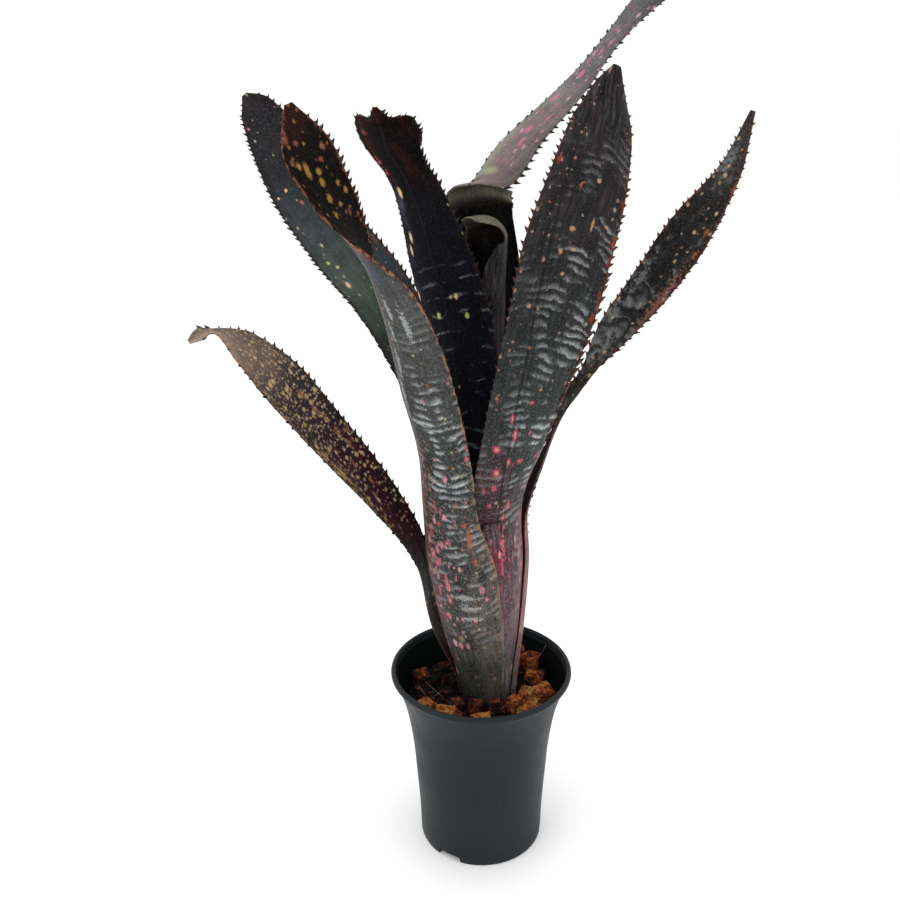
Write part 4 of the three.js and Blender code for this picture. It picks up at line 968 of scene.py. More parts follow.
                       (0.92, "#221f22"), (0.95, "#5c574c"), (0.98, "#6c6654"), (1, "#5c5646")],
            "shade": [(0, 0.9), (0.4, 0.8), (0.6, 1), (1, 1.3)],
            "streaks": [(0, 0.1), (0.55, 0.1), (0.7, 0.2), (0.8, 0.3), (0.92, 0.3), (1, 0.1)],
            "scurf": "#7c777c",
            "dust": [(0, 0.2), (0.6, 0.3), (1, 0.3)],
            "grain": 0.55,
        },
        "upper": {
            "ground": [(0, "#070606"), (0.88, "#0b0908"), (0.94, "#2c261e"), (0.97, "#7a7458"),
                       (1, "#8e8a6c")],
            "marks": [{"colour": "#8a8a66", "at": [(26, 385, 3, 12)], "core": 0.3, "strength": 0.8}],
        },
    },
    "sheath_stub": {
        "lower": {
            "ground": [(0, "#4c443f"), (0.4, "#5c4a48"), (0.7, "#54323c"), (0.85, "#4a1c2c"), (1, "#3a2228")],
            "shade": [(0, 1.1), (0.5, 1), (1, 0.85)],
            "streaks": [(0, 0.4), (0.4, 0.3), (0.8, 0.1), (1, 0.3)],
            "dust": [(0, 0.4), (1, 0.25)],
            "spots": [{"cell": 3, "seed": 14.1, "radius": (0.4, 1), "stretch": 3,
                       "colours": ["#944a5c", "#b46c7c", "#7c3a4a"],
                       "along": [(0, 0), (0.4, 0.2), (0.7, 0.6), (1, 0.5)], "strength": 0.85}],
            "marks": [
                {"colour": "#b8606f", "at": [(-5.9, 131, 1.4, 9), (-5, 118, 1.2, 7)], "broken": 0.5,
                 "core": 0.5},
                {"colour": "#7a1f38", "at": [(1, 120, 6, 10)], "broken": 0.5, "core": 0.3, "strength": 0.8},
                {"colour": "#b9907c", "at": [(-3.4, 125, 0.8, 3), (2, 110, 0.9, 4)]},
            ],
            "rims": [
                {"side": 1, "colour": "#171010", "from": 0.9, "along": [(0, 0.4), (1, 1)]},
                {"side": -1, "colour": "#8a7068", "from": 0.968, "along": [(0, 0.2), (1, 0.8)]},
            ],
        },
        "upper": {"ground": [(0, "#1c1414"), (1, "#2a1a1c")]},
    },
}

# Spines of each leaf: their share of the length to start at, spacing in mm low and at the tip, size
# low and at the tip, and the horn's colours
SPINES = {
    "leaf_front_left": (0.46, 6.0, 3.6, 1.15, 1.0, RED_HORN),
    "leaf_front_right": (0.42, 6.2, 4.8, 1.5, 1.1, RED_HORN),
    "leaf_left": (0.24, 8.0, 4.6, 1.25, 0.8, DARK_HORN),
    "leaf_right": (0.3, 6.4, 4.4, 1.05, 0.75, RED_HORN),
    "leaf_back_left": (0.44, 5.2, 3.3, 1.2, 0.9, DARK_HORN),
    "leaf_centre": (0.6, 4.8, 2.9, 1.15, 1.1, DARK_HORN),
    "leaf_back_right": (0.56, 6.0, 5.5, 1.5, 0.6, DARK_HORN),
}
# A spine's rings, in its own half widths: how far out, how far forward, and each one's size
# against the last
SPINE_RINGS = ((0.8, 0.25, 0.66), (1.5, 0.7, 0.62), (2.1, 1.3, 0.55), (2.5, 2.0, 0.35))
SPINE_SINK = (-0.5, -0.9, 0)
# No two spines are alike: least and most share of their size and spacing, and most lean in radians
SPINE_SIZES = (0.75, 1.2)
SPINE_GAPS = (0.7, 1.3)
SPINE_LEAN = 0.3
# The first spines of a row have this share of their size, and gain the rest at this rate
FIRST_SHARE = 0.45
FIRST_GROWTH = 4
# Margins whose spines differ from their leaf's other ones: a factor low and at the tip
OTHER_SIZES = {
    ("blade_of_leaf_front_left", -1): (0.35, 1.2),
    ("blade_of_leaf_front_right", -1): (1.3, 1.1),
    ("blade_of_leaf_front_right", 1): (0.55, 1.0),
    ("blade_of_leaf_back_left", -1): (1.2, 1.1),
}


def spine_pattern():
    """One spine, in mm: a flattened horn that is extruded and drawn in towards a forward hook."""
    deselect()
    bpy.ops.mesh.primitive_circle_add(vertices=7, radius=1.0, fill_type="NGON", rotation=(0, math.pi / 2, 0))
    spine = bpy.context.object
    bpy.ops.object.transform_apply(location=False, rotation=True, scale=False)
    bpy.ops.object.mode_set(mode="EDIT")
    bpy.ops.mesh.select_all(action="SELECT")
    bpy.ops.transform.resize(value=(1, 1.6, 0.5))
    reached = [0.0, 0.0]
    for out, forward, shrink in SPINE_RINGS:
        bpy.ops.mesh.extrude_region_move(
            TRANSFORM_OT_translate={"value": (out - reached[0], forward - reached[1], 0)})
        bpy.ops.transform.resize(value=(shrink, shrink, shrink))
        reached = [out, forward]
    bpy.ops.mesh.merge(type="CENTER")
    bpy.ops.mesh.select_all(action="SELECT")
    bpy.ops.mesh.normals_make_consistent(inside=False)
    bpy.ops.object.mode_set(mode="OBJECT")
    spine.data.transform(Matrix.Translation(SPINE_SINK))
    reach = spine.data.attributes.new("spine_reach", "FLOAT", "POINT")
    for vertex, value in zip(spine.data.vertices, reach.data):
        value.value = min(max(vertex.co.x / 2, 0), 1)
    for face in spine.data.polygons:
        face.use_smooth = True
    return spine


def margin_frame(here, across):
    """Placing matrix at a margin: x out of the blade, y along it, z off its surface, in mm."""
    angle = across * here["curl"] / 2
    out = math.copysign(1, across) * (math.sin(angle) * here["facing"] + math.cos(angle) * here["across"])
    along = here["along"]
    off = out.cross(along)
    place = on_section(here, across)
    return Matrix((
        (out.x, along.x, off.x, place.x),
        (out.y, along.y, off.y, place.y),
        (out.z, along.z, off.z, place.z),
        (0, 0, 0, 1)))


def add_spines(leaf, blade, row, pattern, rule):
    """Rows of spines on both margins, closer and smaller towards the tip."""
    start, pitch_low, pitch_tip, size_low, size_tip, horn_colours = row
    horn = spine_material(leaf.name + "_spines", *horn_colours)
    leaf.data.materials.append(horn)
    pieces = [leaf]
    for across in (-1, 1):
        at = start * blade.length + rule.uniform(0, pitch_low)
        while at < blade.length - pitch_tip:
            share = at / blade.length
            ripe = (share - start) / (1 - start)
            size = (size_low + (size_tip - size_low) * ripe) * rule.uniform(*SPINE_SIZES)
            size *= min(1, FIRST_SHARE + FIRST_GROWTH * ripe)
            low, high = OTHER_SIZES.get((leaf.name, across), (1, 1))
            size *= low + (high - low) * ripe
            spine = pattern.copy()
            spine.data = pattern.data.copy()
            bpy.context.collection.objects.link(spine)
            spine.data.transform(margin_frame(blade.station(share), across)
                                 @ Matrix.Rotation(rule.uniform(-SPINE_LEAN, SPINE_LEAN), 4, "Y")
                                 @ Matrix.Scale(size, 4))
            spine.data.transform(Matrix.Scale(MM, 4))
            spine.data.materials.append(horn)
            pieces.append(spine)
            at += (pitch_low + (pitch_tip - pitch_low) * ripe) * rule.uniform(*SPINE_GAPS)
    return join(pieces)


# Slow waves in the free part of each blade, in mm. They rise from the first spines on and die away
# towards the tip, at these rates over the length
WAVE_HEIGHT = 0.9
WAVE_LENGTH = 34.0
WAVE_RISE = 6
WAVE_FALL = 8
# At its very end a leaf is this share of its thickness, which it gains at this rate over the length
END_SHARE = 0.6
END_RATE = 20
# Margins are a little ragged, by this much and at this spacing, in mm
RAGGED = 0.5
RAGGED_PITCH = 3
# Short ruffles along a margin: which side, where they start and stop, their height and spacing, in mm
RUFFLES = {
    "leaf_front_left": (1, 175, 225, 0.9, 8.0),
    "leaf_front_right": (-1, 180, 262, 1.1, 11.0),
}
# Sheath margins that lie close on the leaf inside: how far in, down to full hold, and up to its end.
# They bend from this share of the half width outwards
TUCKS = {"leaf_right": (2.6, 130, 190)}
TUCK_FROM = 0.6


def make_leaf(name, rows, pattern):
    """A leaf: a grid is laid along its midrib, thickened, and given its spines."""
    blade = Blade(rows)
    rule = random.Random(name)
    steps = round(blade.length / STATION_PITCH)
    deselect()
    bpy.ops.mesh.primitive_grid_add(x_subdivisions=LINES_ACROSS, y_subdivisions=steps, size=2)
    leaf = bpy.context.object
    leaf.name = "blade_of_" + name
    mesh = leaf.data
    places, shares = [], []
    thickness = leaf.vertex_groups.new(name="thickness")
    stations = [blade.station(i / steps) for i in range(steps + 1)]
    free_from = SPINES[name][0] if name in SPINES else 1.0
    ruffle_side, ruffle_from, ruffle_to, ruffle_height, ruffle_pitch = RUFFLES.get(name, (1, 0, 1, 0, 1))
    phase = rule.uniform(0, 100)
    for vertex in mesh.vertices:
        across, share = vertex.co.x, (vertex.co.y + 1) / 2
        here = stations[round(share * steps)]
        free = min(max((share - free_from) * WAVE_RISE, 0), 1) * min((1 - share) * WAVE_FALL, 1)
        along_mm = share * blade.length
        wave = noise.noise(Vector((along_mm / WAVE_LENGTH, 3 * across + phase, phase)))
        lift = WAVE_HEIGHT * wave * free * abs(across) ** 2
        if ruffle_from < along_mm < ruffle_to and across * ruffle_side > 0:
            run = (along_mm - ruffle_from) / (ruffle_to - ruffle_from)
            turn = 2 * math.pi * along_mm / ruffle_pitch + 3 * wave
            lift += ruffle_height * math.sin(math.pi * run) * math.sin(turn) * across ** 6
        tear = Vector((along_mm / RAGGED_PITCH, math.copysign(9, across), phase))
        torn = RAGGED * noise.noise(tear) * across ** 8 * min(1, WAVE_FALL * (1 - share))
        if name in TUCKS and across > TUCK_FROM:
            tuck_height, tuck_to, tuck_end = TUCKS[name]
            held = min(max((tuck_end - along_mm) / (tuck_end - tuck_to), 0), 1)
            lift += tuck_height * held * ((across - TUCK_FROM) / (1 - TUCK_FROM)) ** 2
        places += (across * here["width"] / 2, along_mm, phase)
        shares += (across, share, 0)
        thinned = min(1, END_SHARE + END_RATE * (1 - share))
        thickness.add([vertex.index], thinned * (1 - (1 - MARGIN_SHARE) * across ** 4), "REPLACE")
        vertex.co = on_section(here, across, lift, torn) * MM
    for attribute, values in (("blade_mm", places), ("blade_share", shares)):
        mesh.attributes.new(attribute, "FLOAT_VECTOR", "POINT").data.foreach_set("vector", values)
    for face in ("upper", "lower"):
        mesh.materials.append(leaf_material(name + "_" + face, LOOKS[name][face]))
    apply_modifier(leaf, "SOLIDIFY", thickness=LEAF_THICKNESS * MM, offset=0, use_rim=True,
                   vertex_group="thickness", thickness_vertex_group=0.0, material_offset=1)
    smooth(leaf, 50)
    if name in SPINES:
        add_spines(leaf, blade, SPINES[name], pattern, rule)
    finish_piece(leaf, name)


# Pot, in mm
POT_HEIGHT = 130
RIM_RADIUS = 60
FOOT_RADIUS = 42
FOOT_RING_WIDTH = 4
WALL = 1.6
FLOOR_UNDERSIDE = 6
FLOOR_TOP = 8
FLOOR_RADIUS = 39.8
# The rim's bead is an oval, drawn in steps from one turn of its section over a sweep, in degrees
BEAD_DROP = 4.6
BEAD_DEPTH = 3.4
BEAD_FROM = -75
BEAD_SWEEP = 250
BEAD_STEPS = 16
POT_SIDES = 160
# The outer wall's rings: radius and height
WALL_RINGS = [(42, 1), (42.7, 24), (44.4, 50), (46.4, 76), (50, 100), (53.4, 113), (57.6, 124.8)]
NOTCH_WIDTH = 17
NOTCH_HEIGHT = 4.6
NOTCH_COUNT = 3
NOTCH_EASE = 2.2
# Where the first notch in the foot stands, in degrees
NOTCH_FIRST = 237
DRAIN_COUNT = 6
DRAIN_RADIUS = 4.5
DRAIN_RING = 24


def turned(name, profile, sides):
    """A closed turned form: a filled circle is extruded and scaled from ring to ring, in mm."""
    deselect()
    radius, height = profile[0]
    bpy.ops.mesh.primitive_circle_add(vertices=sides, radius=radius * MM, fill_type="NGON",
                                      location=(0, 0, height * MM))
    piece = bpy.context.object
    piece.name = name
    bpy.ops.object.transform_apply(location=True, rotation=False, scale=False)
    bpy.ops.object.mode_set(mode="EDIT")
    bpy.ops.mesh.select_all(action="SELECT")
    bpy.ops.mesh.select_mode(type="FACE")
    for next_radius, next_height in profile[1:]:
        bpy.ops.mesh.extrude_region_move(
            TRANSFORM_OT_translate={"value": (0, 0, (next_height - height) * MM)})
        share = next_radius / radius
        bpy.ops.transform.resize(value=(share, share, 1), center_override=(0, 0, 0))
        radius, height = next_radius, next_height
    bpy.ops.mesh.select_all(action="SELECT")
    bpy.ops.mesh.normals_make_consistent(inside=False)
    bpy.ops.object.mode_set(mode="OBJECT")
    return piece


def wall_curve(steps):
    """The outer wall as a smooth curve through its rings."""
    points = [Vector((r, z, 0)) for r, z in WALL_RINGS]
    return [tuple(curve_point(points, i / steps, False)[:2]) for i in range(steps + 1)]


def cut(piece, cutter):
    """Takes a cutter's form out of a piece."""
    apply_modifier(piece, "BOOLEAN", object=cutter, operation="DIFFERENCE", solver="EXACT")
    bpy.data.objects.remove(cutter)


def pot_plastic(name, base, rough, gloss):
    """Polypropylene, injection moulded: satin black with faint upright draw marks and small scuffs.
    Draw marks are about 4 mm wide and 110 mm long, clouds 24 mm, scuffs 3 mm, and the grain 1 mm."""
    made, tree, output = new_material(name)
    place = add(tree, "TexCoord").outputs["Object"]
    upright = add(tree, "VectorMath", {0: place, 1: (260.0, 260.0, 9.0)}, operation="MULTIPLY")
    drag = add(tree, "TexNoise", {"Vector": upright, "Scale": 1.0, "Detail": 4.0, "Roughness": 0.6})
    blotch = add(tree, "TexNoise", {"Vector": place, "Scale": 42.0, "Detail": 5.0, "Roughness": 0.65})
    scuff = add(tree, "TexVoronoi", {"Vector": place, "Scale": 55.0, "Randomness": 1.0})
    chance = add(tree, "SeparateColor", {0: scuff.outputs["Color"]}).outputs[0]
    rare = add(tree, "Math", {0: chance, 1: 0.1}, operation="LESS_THAN")
    near = add(tree, "MapRange", {0: scuff.outputs["Distance"], 1: 0.08, 2: 0.16, 3: 1.0, 4: 0.0})
    scuff_mask = add(tree, "Math", {0: rare, 1: near}, operation="MULTIPLY")
    tone = add(tree, "MapRange", {0: scuff_mask, 3: 1.0, 4: 0.55})
    for pattern in (drag, blotch):
        level = add(tree, "MapRange", {0: pattern, 1: 0.3, 2: 0.7, 3: 0.88, 4: 1.12})
        tone = add(tree, "Math", {0: tone, 1: level}, operation="MULTIPLY")
    skin = add(tree, "VectorMath", {0: colour(base)[:3], 3: tone}, operation="SCALE")
    dull = add(tree, "MapRange", {0: blotch, 1: 0.3, 2: 0.7, 3: rough - 0.06, 4: rough + 0.08})
    grain = add(tree, "TexNoise", {"Vector": place, "Scale": 900.0, "Detail": 2.0})
    relief = add(tree, "Math", {0: grain, 1: drag}, operation="ADD")
    bump = add(tree, "Bump", {"Strength": 0.12, "Distance": 0.0003, "Height": relief})
    shader = add(tree, "BsdfPrincipled", {"Base Color": skin, "Roughness": dull, "Normal": bump,
                                          "IOR": 1.49, "Specular IOR Level": gloss})
    tree.links.new(shader.outputs[0], output.inputs[0])
    return made


def make_pot():
    """The pot: turned wall, bead, floor and foot ring, then its drain holes and foot notches."""
    bead = (BEAD_DROP / 2, BEAD_DEPTH / 2)
    middle = (RIM_RADIUS - bead[1], POT_HEIGHT - bead[0])
    rim = []
    for i in range(BEAD_STEPS + 1):
        angle = math.radians(BEAD_FROM + BEAD_SWEEP * i / BEAD_STEPS)
        rim.append((middle[0] + bead[1] * math.cos(angle), middle[1] + bead[0] * math.sin(angle)))
    outer = wall_curve(30)
    inner = [(r - WALL, z) for r, z in reversed(outer) if z > FLOOR_TOP + 2]
    foot = FOOT_RADIUS - FOOT_RING_WIDTH
    profile = [
        (foot, FLOOR_UNDERSIDE), (foot + 0.9, 0.2), (foot + 1.1, 0),
        (FOOT_RADIUS - 1.1, 0), (FOOT_RADIUS - 0.35, 0.3),
        *outer, *rim, *inner,
        (FLOOR_RADIUS + 0.4, FLOOR_TOP + 0.6), (FLOOR_RADIUS - 0.8, FLOOR_TOP),
    ]
    pot = turned("flared_pot", profile, POT_SIDES)
    for i in range(NOTCH_COUNT):
        deselect()
        turn = math.radians(NOTCH_FIRST + 360 / NOTCH_COUNT * i)
        bpy.ops.mesh.primitive_cube_add(size=1)
        notch = bpy.context.object
        size = (3 * FOOT_RING_WIDTH * MM, NOTCH_WIDTH * MM, 2 * NOTCH_HEIGHT * MM, 1)
        notch.data.transform(Matrix.Diagonal(size))
        apply_modifier(notch, "BEVEL", width=NOTCH_EASE * MM, segments=4, affect="EDGES", limit_method="NONE")
        notch.data.transform(Matrix.Rotation(turn, 4, "Z") @ Matrix.Translation((FOOT_RADIUS * MM, 0, 0)))
        cut(pot, notch)
    for i in range(DRAIN_COUNT):
        deselect()
        turn = math.radians(360 / DRAIN_COUNT * i)
        bpy.ops.mesh.primitive_cylinder_add(vertices=32, radius=DRAIN_RADIUS * MM, depth=3 * FLOOR_TOP * MM)
        hole = bpy.context.object
        place = (DRAIN_RING * MM * math.cos(turn), DRAIN_RING * MM * math.sin(turn), 0)
        hole.data.transform(Matrix.Translation(place))
        cut(pot, hole)
    # The inner face takes a darker, duller copy of the same plastic: painted shade inside the pot
    dress(pot, pot_plastic("polypropylene_satin", "#1b2124", 0.45, 0.14),
          pot_plastic("polypropylene_inside_shade", "#060b0a", 0.4, 0.06))
    for face in pot.data.polygons:
        place = face.center
        inwards = face.normal.x * place.x + face.normal.y * place.y < 0
        within = (FLOOR_TOP + 1) * MM < place.z < (POT_HEIGHT - BEAD_DROP) * MM
        face.material_index = 1 if inwards and within else 0
    smooth(pot, 40)
    finish_piece(pot, "pot")


# Husk bed with the hole that the tube stands in, in mm
BED_TOP = 106.0
HOLE_CENTRE = (5.3, 8.3)
HOLE_RADIUS = 20.7
CLEARANCE = 0.4
# Chips: the seed of their draws and of the noise that tears them, patterns that are strewn, their
# sizes in mm, and how much of its pattern's size a chip keeps
CHIP_SEED = 21
CHIP_PATTERNS = 9
CHIP_COUNT = 150
CHIP_SIZE = ((8, 15), (6, 11), (4, 8))
CHIP_SHRINK = (0.45, 0.85)
CHIP_TOP = 119.0
# Their eased edges in mm, and how they are torn: waves per mm and depth in mm, coarse and fine
CHIP_EASE = 0.5
CHIP_TEARS = ((0.12, 1.3), (0.7, 0.6))
# Strewn and placed chips lean up to this many radians either way
CHIP_LEAN = 0.6
PLACED_LEAN = 0.25
# Strewn chips start this far under the bed's top, spread over this height, and keep this far from
# the bed's edge and from the hole
CHIP_SINK = 3
CHIP_SPREAD = 6
EDGE_GAP = 4.5
HOLE_GAP = 4
# Mean and spread of the chips' tones, and the share of its tone that the lowest chip keeps: lower chips are
# darkened as painted shade under the ones above
CHIP_TONES = (0.4, 0.26)
LOWEST_CHIP_SHADE = 0.25
# Chips that are placed singly: x, y, z, turn, length, width, height, tone
PLACED_CHIPS = [
    (-1, -38, 112, 6, 13, 9, 8, 0.68),
    (-24, -31, 113, -20, 14, 11, 8, 0.74),
    (11, -37, 110, 35, 12, 9, 6, 0.5),
    (-38, -20, 111, 50, 13, 10, 8, 0.56),
    (30, -26, 110, -30, 12, 11, 8, 0.7),
    (21, -36, 108.5, 15, 11, 9, 7, 0.72),
    (41, -6, 111, 20, 14, 12, 8, 0.54),
    (32, -14, 109.5, 60, 10, 9, 7, 0.78),
    (37, 14, 111, 75, 16, 12, 9, 0.45),
    (36, 31, 114, 40, 14, 11, 9, 0.55),
    (27, 41, 114, 10, 12, 9, 8, 0.42),
    (-42, 18, 110, 20, 11, 8, 7, 0.3),
    (-16, -19, 112, 25, 9, 8, 7, 0.18),
    (-4, -22, 113, -8, 10, 8, 7, 0.22),
    (9, -22, 113, 10, 9, 8, 7, 0.26),
    (21, -20, 113.5, 30, 9, 8, 8, 0.5),
    (30, -10, 113, 70, 10, 9, 8, 0.7),
]
# Behind the tube on the left the husk lies lower, and its chips there are darkened: painted shade for the
# hollow behind the tube
SHADED_BEYOND = (-9, -16)
SHADED_DROP = 1
PAINTED_SHADE_TONE = 0.42
# Chips stay this far from the pot's inner face, in mm
WALL_GAP = 0.8


def husk(name, stops):
    """Coconut husk chip: short matted fibres that catch the light as fine streaks over pits darkened with
    painted shade.
    Fibres are about 1.4 mm long and 0.4 mm thick, pits 2 mm apart, and stains 8 mm."""
    made, tree, output = new_material(name)
    place = add(tree, "TexCoord").outputs["Object"]
    level = add(tree, "Attribute", attribute_name="chip_tone").outputs["Fac"]
    drawn = add(tree, "VectorMath", {0: place, 1: (700.0, 900.0, 2600.0)}, operation="MULTIPLY")
    fibre = add(tree, "TexNoise", {"Vector": drawn, "Scale": 1.0, "Detail": 4.0, "Roughness": 0.7,
                                   "Distortion": 0.6})
    pit = add(tree, "TexNoise", {"Vector": place, "Scale": 520.0, "Detail": 4.0, "Roughness": 0.75})
    stain = add(tree, "TexNoise", {"Vector": place, "Scale": 130.0, "Detail": 3.0, "Roughness": 0.6})
    for pattern, depth in ((fibre, 0.16), (stain, 0.34)):
        shift = add(tree, "MapRange", {0: pattern, 1: 0.3, 2: 0.7, 3: -depth, 4: depth})
        level = add(tree, "Math", {0: level, 1: shift}, operation="ADD").outputs[0]
    tint = add(tree, "ValToRGB", {0: level}, stops=stops)
    # Pits darken the colour: painted shade in the husk's hollows
    shade = add(tree, "MapRange", {0: pit, 1: 0.38, 2: 0.56, 3: 0.12, 4: 1.1})
    skin = add(tree, "VectorMath", {0: tint, 3: shade}, operation="SCALE")
    relief = add(tree, "Math", {0: fibre, 1: pit}, operation="ADD")
    bump = add(tree, "Bump", {"Strength": 0.9, "Distance": 0.0009, "Height": relief})
    shader = add(tree, "BsdfPrincipled", {"Base Color": skin, "Roughness": 0.85, "Normal": bump,
                                          "Specular IOR Level": 0.15})
    tree.links.new(shader.outputs[0], output.inputs[0])
    return made


def chip_pattern(size, rule):
    """One chip, in mm: a cube is drawn out, its edges eased, and its sides torn a little."""
    deselect()
    bpy.ops.mesh.primitive_cube_add(size=1)
    chip = bpy.context.object
    chip.data.transform(Matrix.Diagonal((*size, 1)))
    bpy.ops.object.mode_set(mode="EDIT")
    bpy.ops.mesh.select_all(action="SELECT")
    bpy.ops.mesh.bevel(offset=CHIP_EASE, segments=1, affect="EDGES")
    bpy.ops.mesh.select_all(action="SELECT")
    bpy.ops.mesh.subdivide(number_cuts=3)
    bpy.ops.object.mode_set(mode="OBJECT")
    shift = Vector((rule.uniform(0, 50), rule.uniform(0, 50), rule.uniform(0, 50)))
    for vertex in chip.data.vertices:
        coarse, fine = (noise.noise_vector(vertex.co * waves + shift) * depth for waves, depth in CHIP_TEARS)
        vertex.co += coarse + fine
    return chip


def lay_chip(chip, spot, turns, size, tone):
    """Places a chip in mm, keeps it under the top of the growing medium, and gives it its tone."""
    lean, tip, turn = turns
    chip.data.transform(Matrix.Translation(spot) @ Matrix.Rotation(turn, 4, "Z")
                        @ Matrix.Rotation(lean, 4, "X") @ Matrix.Rotation(tip, 4, "Y")
                        @ Matrix.Scale(size, 4))
    highest = max(v.co.z for v in chip.data.vertices)
    if highest > CHIP_TOP:
        chip.data.transform(Matrix.Translation((0, 0, CHIP_TOP - highest)))
    chip.data.transform(Matrix.Scale(MM, 4))
    values = chip.data.attributes.new("chip_tone", "FLOAT", "POINT").data
    values.foreach_set("value", [tone] * len(values))


# Fibres that are placed singly, each a path of points in mm
LONG_FIBRES = [
    [(-38, 2, 116.6), (-27, -13, 115.4), (-19, -24, 115.2), (-13, -34, 116)],
    [(34, 22, 114.5), (39, 23, 119), (44, 26, 124), (46, 27, 128)],
    [(-26, -12, 112), (-29, -18, 115.5), (-30, -26, 114.5)],
]
# Short fibres start on a ring over the open side of the bed, at turns in degrees and radii and
# heights in mm. They rise or fall a little, and bend by a share of their reach in mm
FIBRE_COUNT = 34
FIBRE_TURNS = (185, 385)
FIBRE_RADII = (30, 45)
FIBRE_HEIGHTS = (112.6, 114.8)
FIBRE_RISE = (-0.25, 0.3)
FIBRE_REACH = (3, 9)
FIBRE_BEND = 0.07
FIBRE_THICKNESS = (0.08, 0.15)


def make_fibres(rule):
    """Loose pale fibres on the chips, each a thin round strand drawn along a bent path, in mm."""
    paths = LONG_FIBRES.copy()
    for _ in range(FIBRE_COUNT):
        turn = rule.uniform(*map(math.radians, FIBRE_TURNS))
        radius = rule.uniform(*FIBRE_RADII)
        start = Vector((radius * math.cos(turn), radius * math.sin(turn), rule.uniform(*FIBRE_HEIGHTS)))
        way = Vector((rule.uniform(-1, 1), rule.uniform(-1, 1), rule.uniform(*FIBRE_RISE))).normalized()
        reach = rule.uniform(*FIBRE_REACH)
        bend = Vector((rule.uniform(-1, 1), rule.uniform(-1, 1), 0)) * reach * FIBRE_BEND
        paths.append([start, start + way * reach / 2 + bend, start + way * reach])
    strands = []
    for path in paths:
        curve = bpy.data.curves.new("strand", "CURVE")
        curve.dimensions = "3D"
        curve.bevel_depth = rule.uniform(*FIBRE_THICKNESS) * MM
        curve.bevel_resolution = 1
        curve.resolution_u = 6
        line = curve.splines.new("BEZIER")
        line.bezier_points.add(len(path) - 1)
        for point, place in zip(line.bezier_points, path):
            point.co = Vector(place) * MM
            point.handle_left_type = point.handle_right_type = "AUTO"
        strand = bpy.data.objects.new("strand", curve)
        bpy.context.collection.objects.link(strand)
        only(strand)
        bpy.ops.object.convert(target="MESH")
        strands.append(bpy.context.object)
    made, tree, output = new_material("dry_coir_fibre")
    place = add(tree, "TexCoord").outputs["Object"]
    tone = add(tree, "TexNoise", {"Vector": place, "Scale": 90.0, "Detail": 2.0})
    tint = add(tree, "ValToRGB", {0: tone}, stops=[(0.3, "#4a2c1c"), (0.48, "#7c5e48"), (0.7, "#b8a490")])
    shader = add(tree, "BsdfPrincipled", {"Base Color": tint, "Roughness": 0.7, "Specular IOR Level": 0.2})
    tree.links.new(shader.outputs[0], output.inputs[0])
    fibres = join(strands)
    dress(fibres, made)
    fibres.name = "loose_fibres"
    smooth(fibres, 60)
    finish_piece(fibres, "substrate")


def inside_of_wall(height):
    """Radius of the pot's inner face at a height, in mm."""
    for (low, bottom), (high, top) in zip(WALL_RINGS, WALL_RINGS[1:]):
        if height <= top:
            break
    return low + (high - low) * (height - bottom) / (top - bottom) - WALL


def keep_inside(chip):
    """A chip at the wall is pressed flat against it, so that none of it goes through."""
    for vertex in chip.data.vertices:
        out = math.hypot(vertex.co.x, vertex.co.y)
        most = (inside_of_wall(vertex.co.z / MM) - WALL_GAP) * MM
        if out > most:
            vertex.co.x *= most / out
            vertex.co.y *= most / out


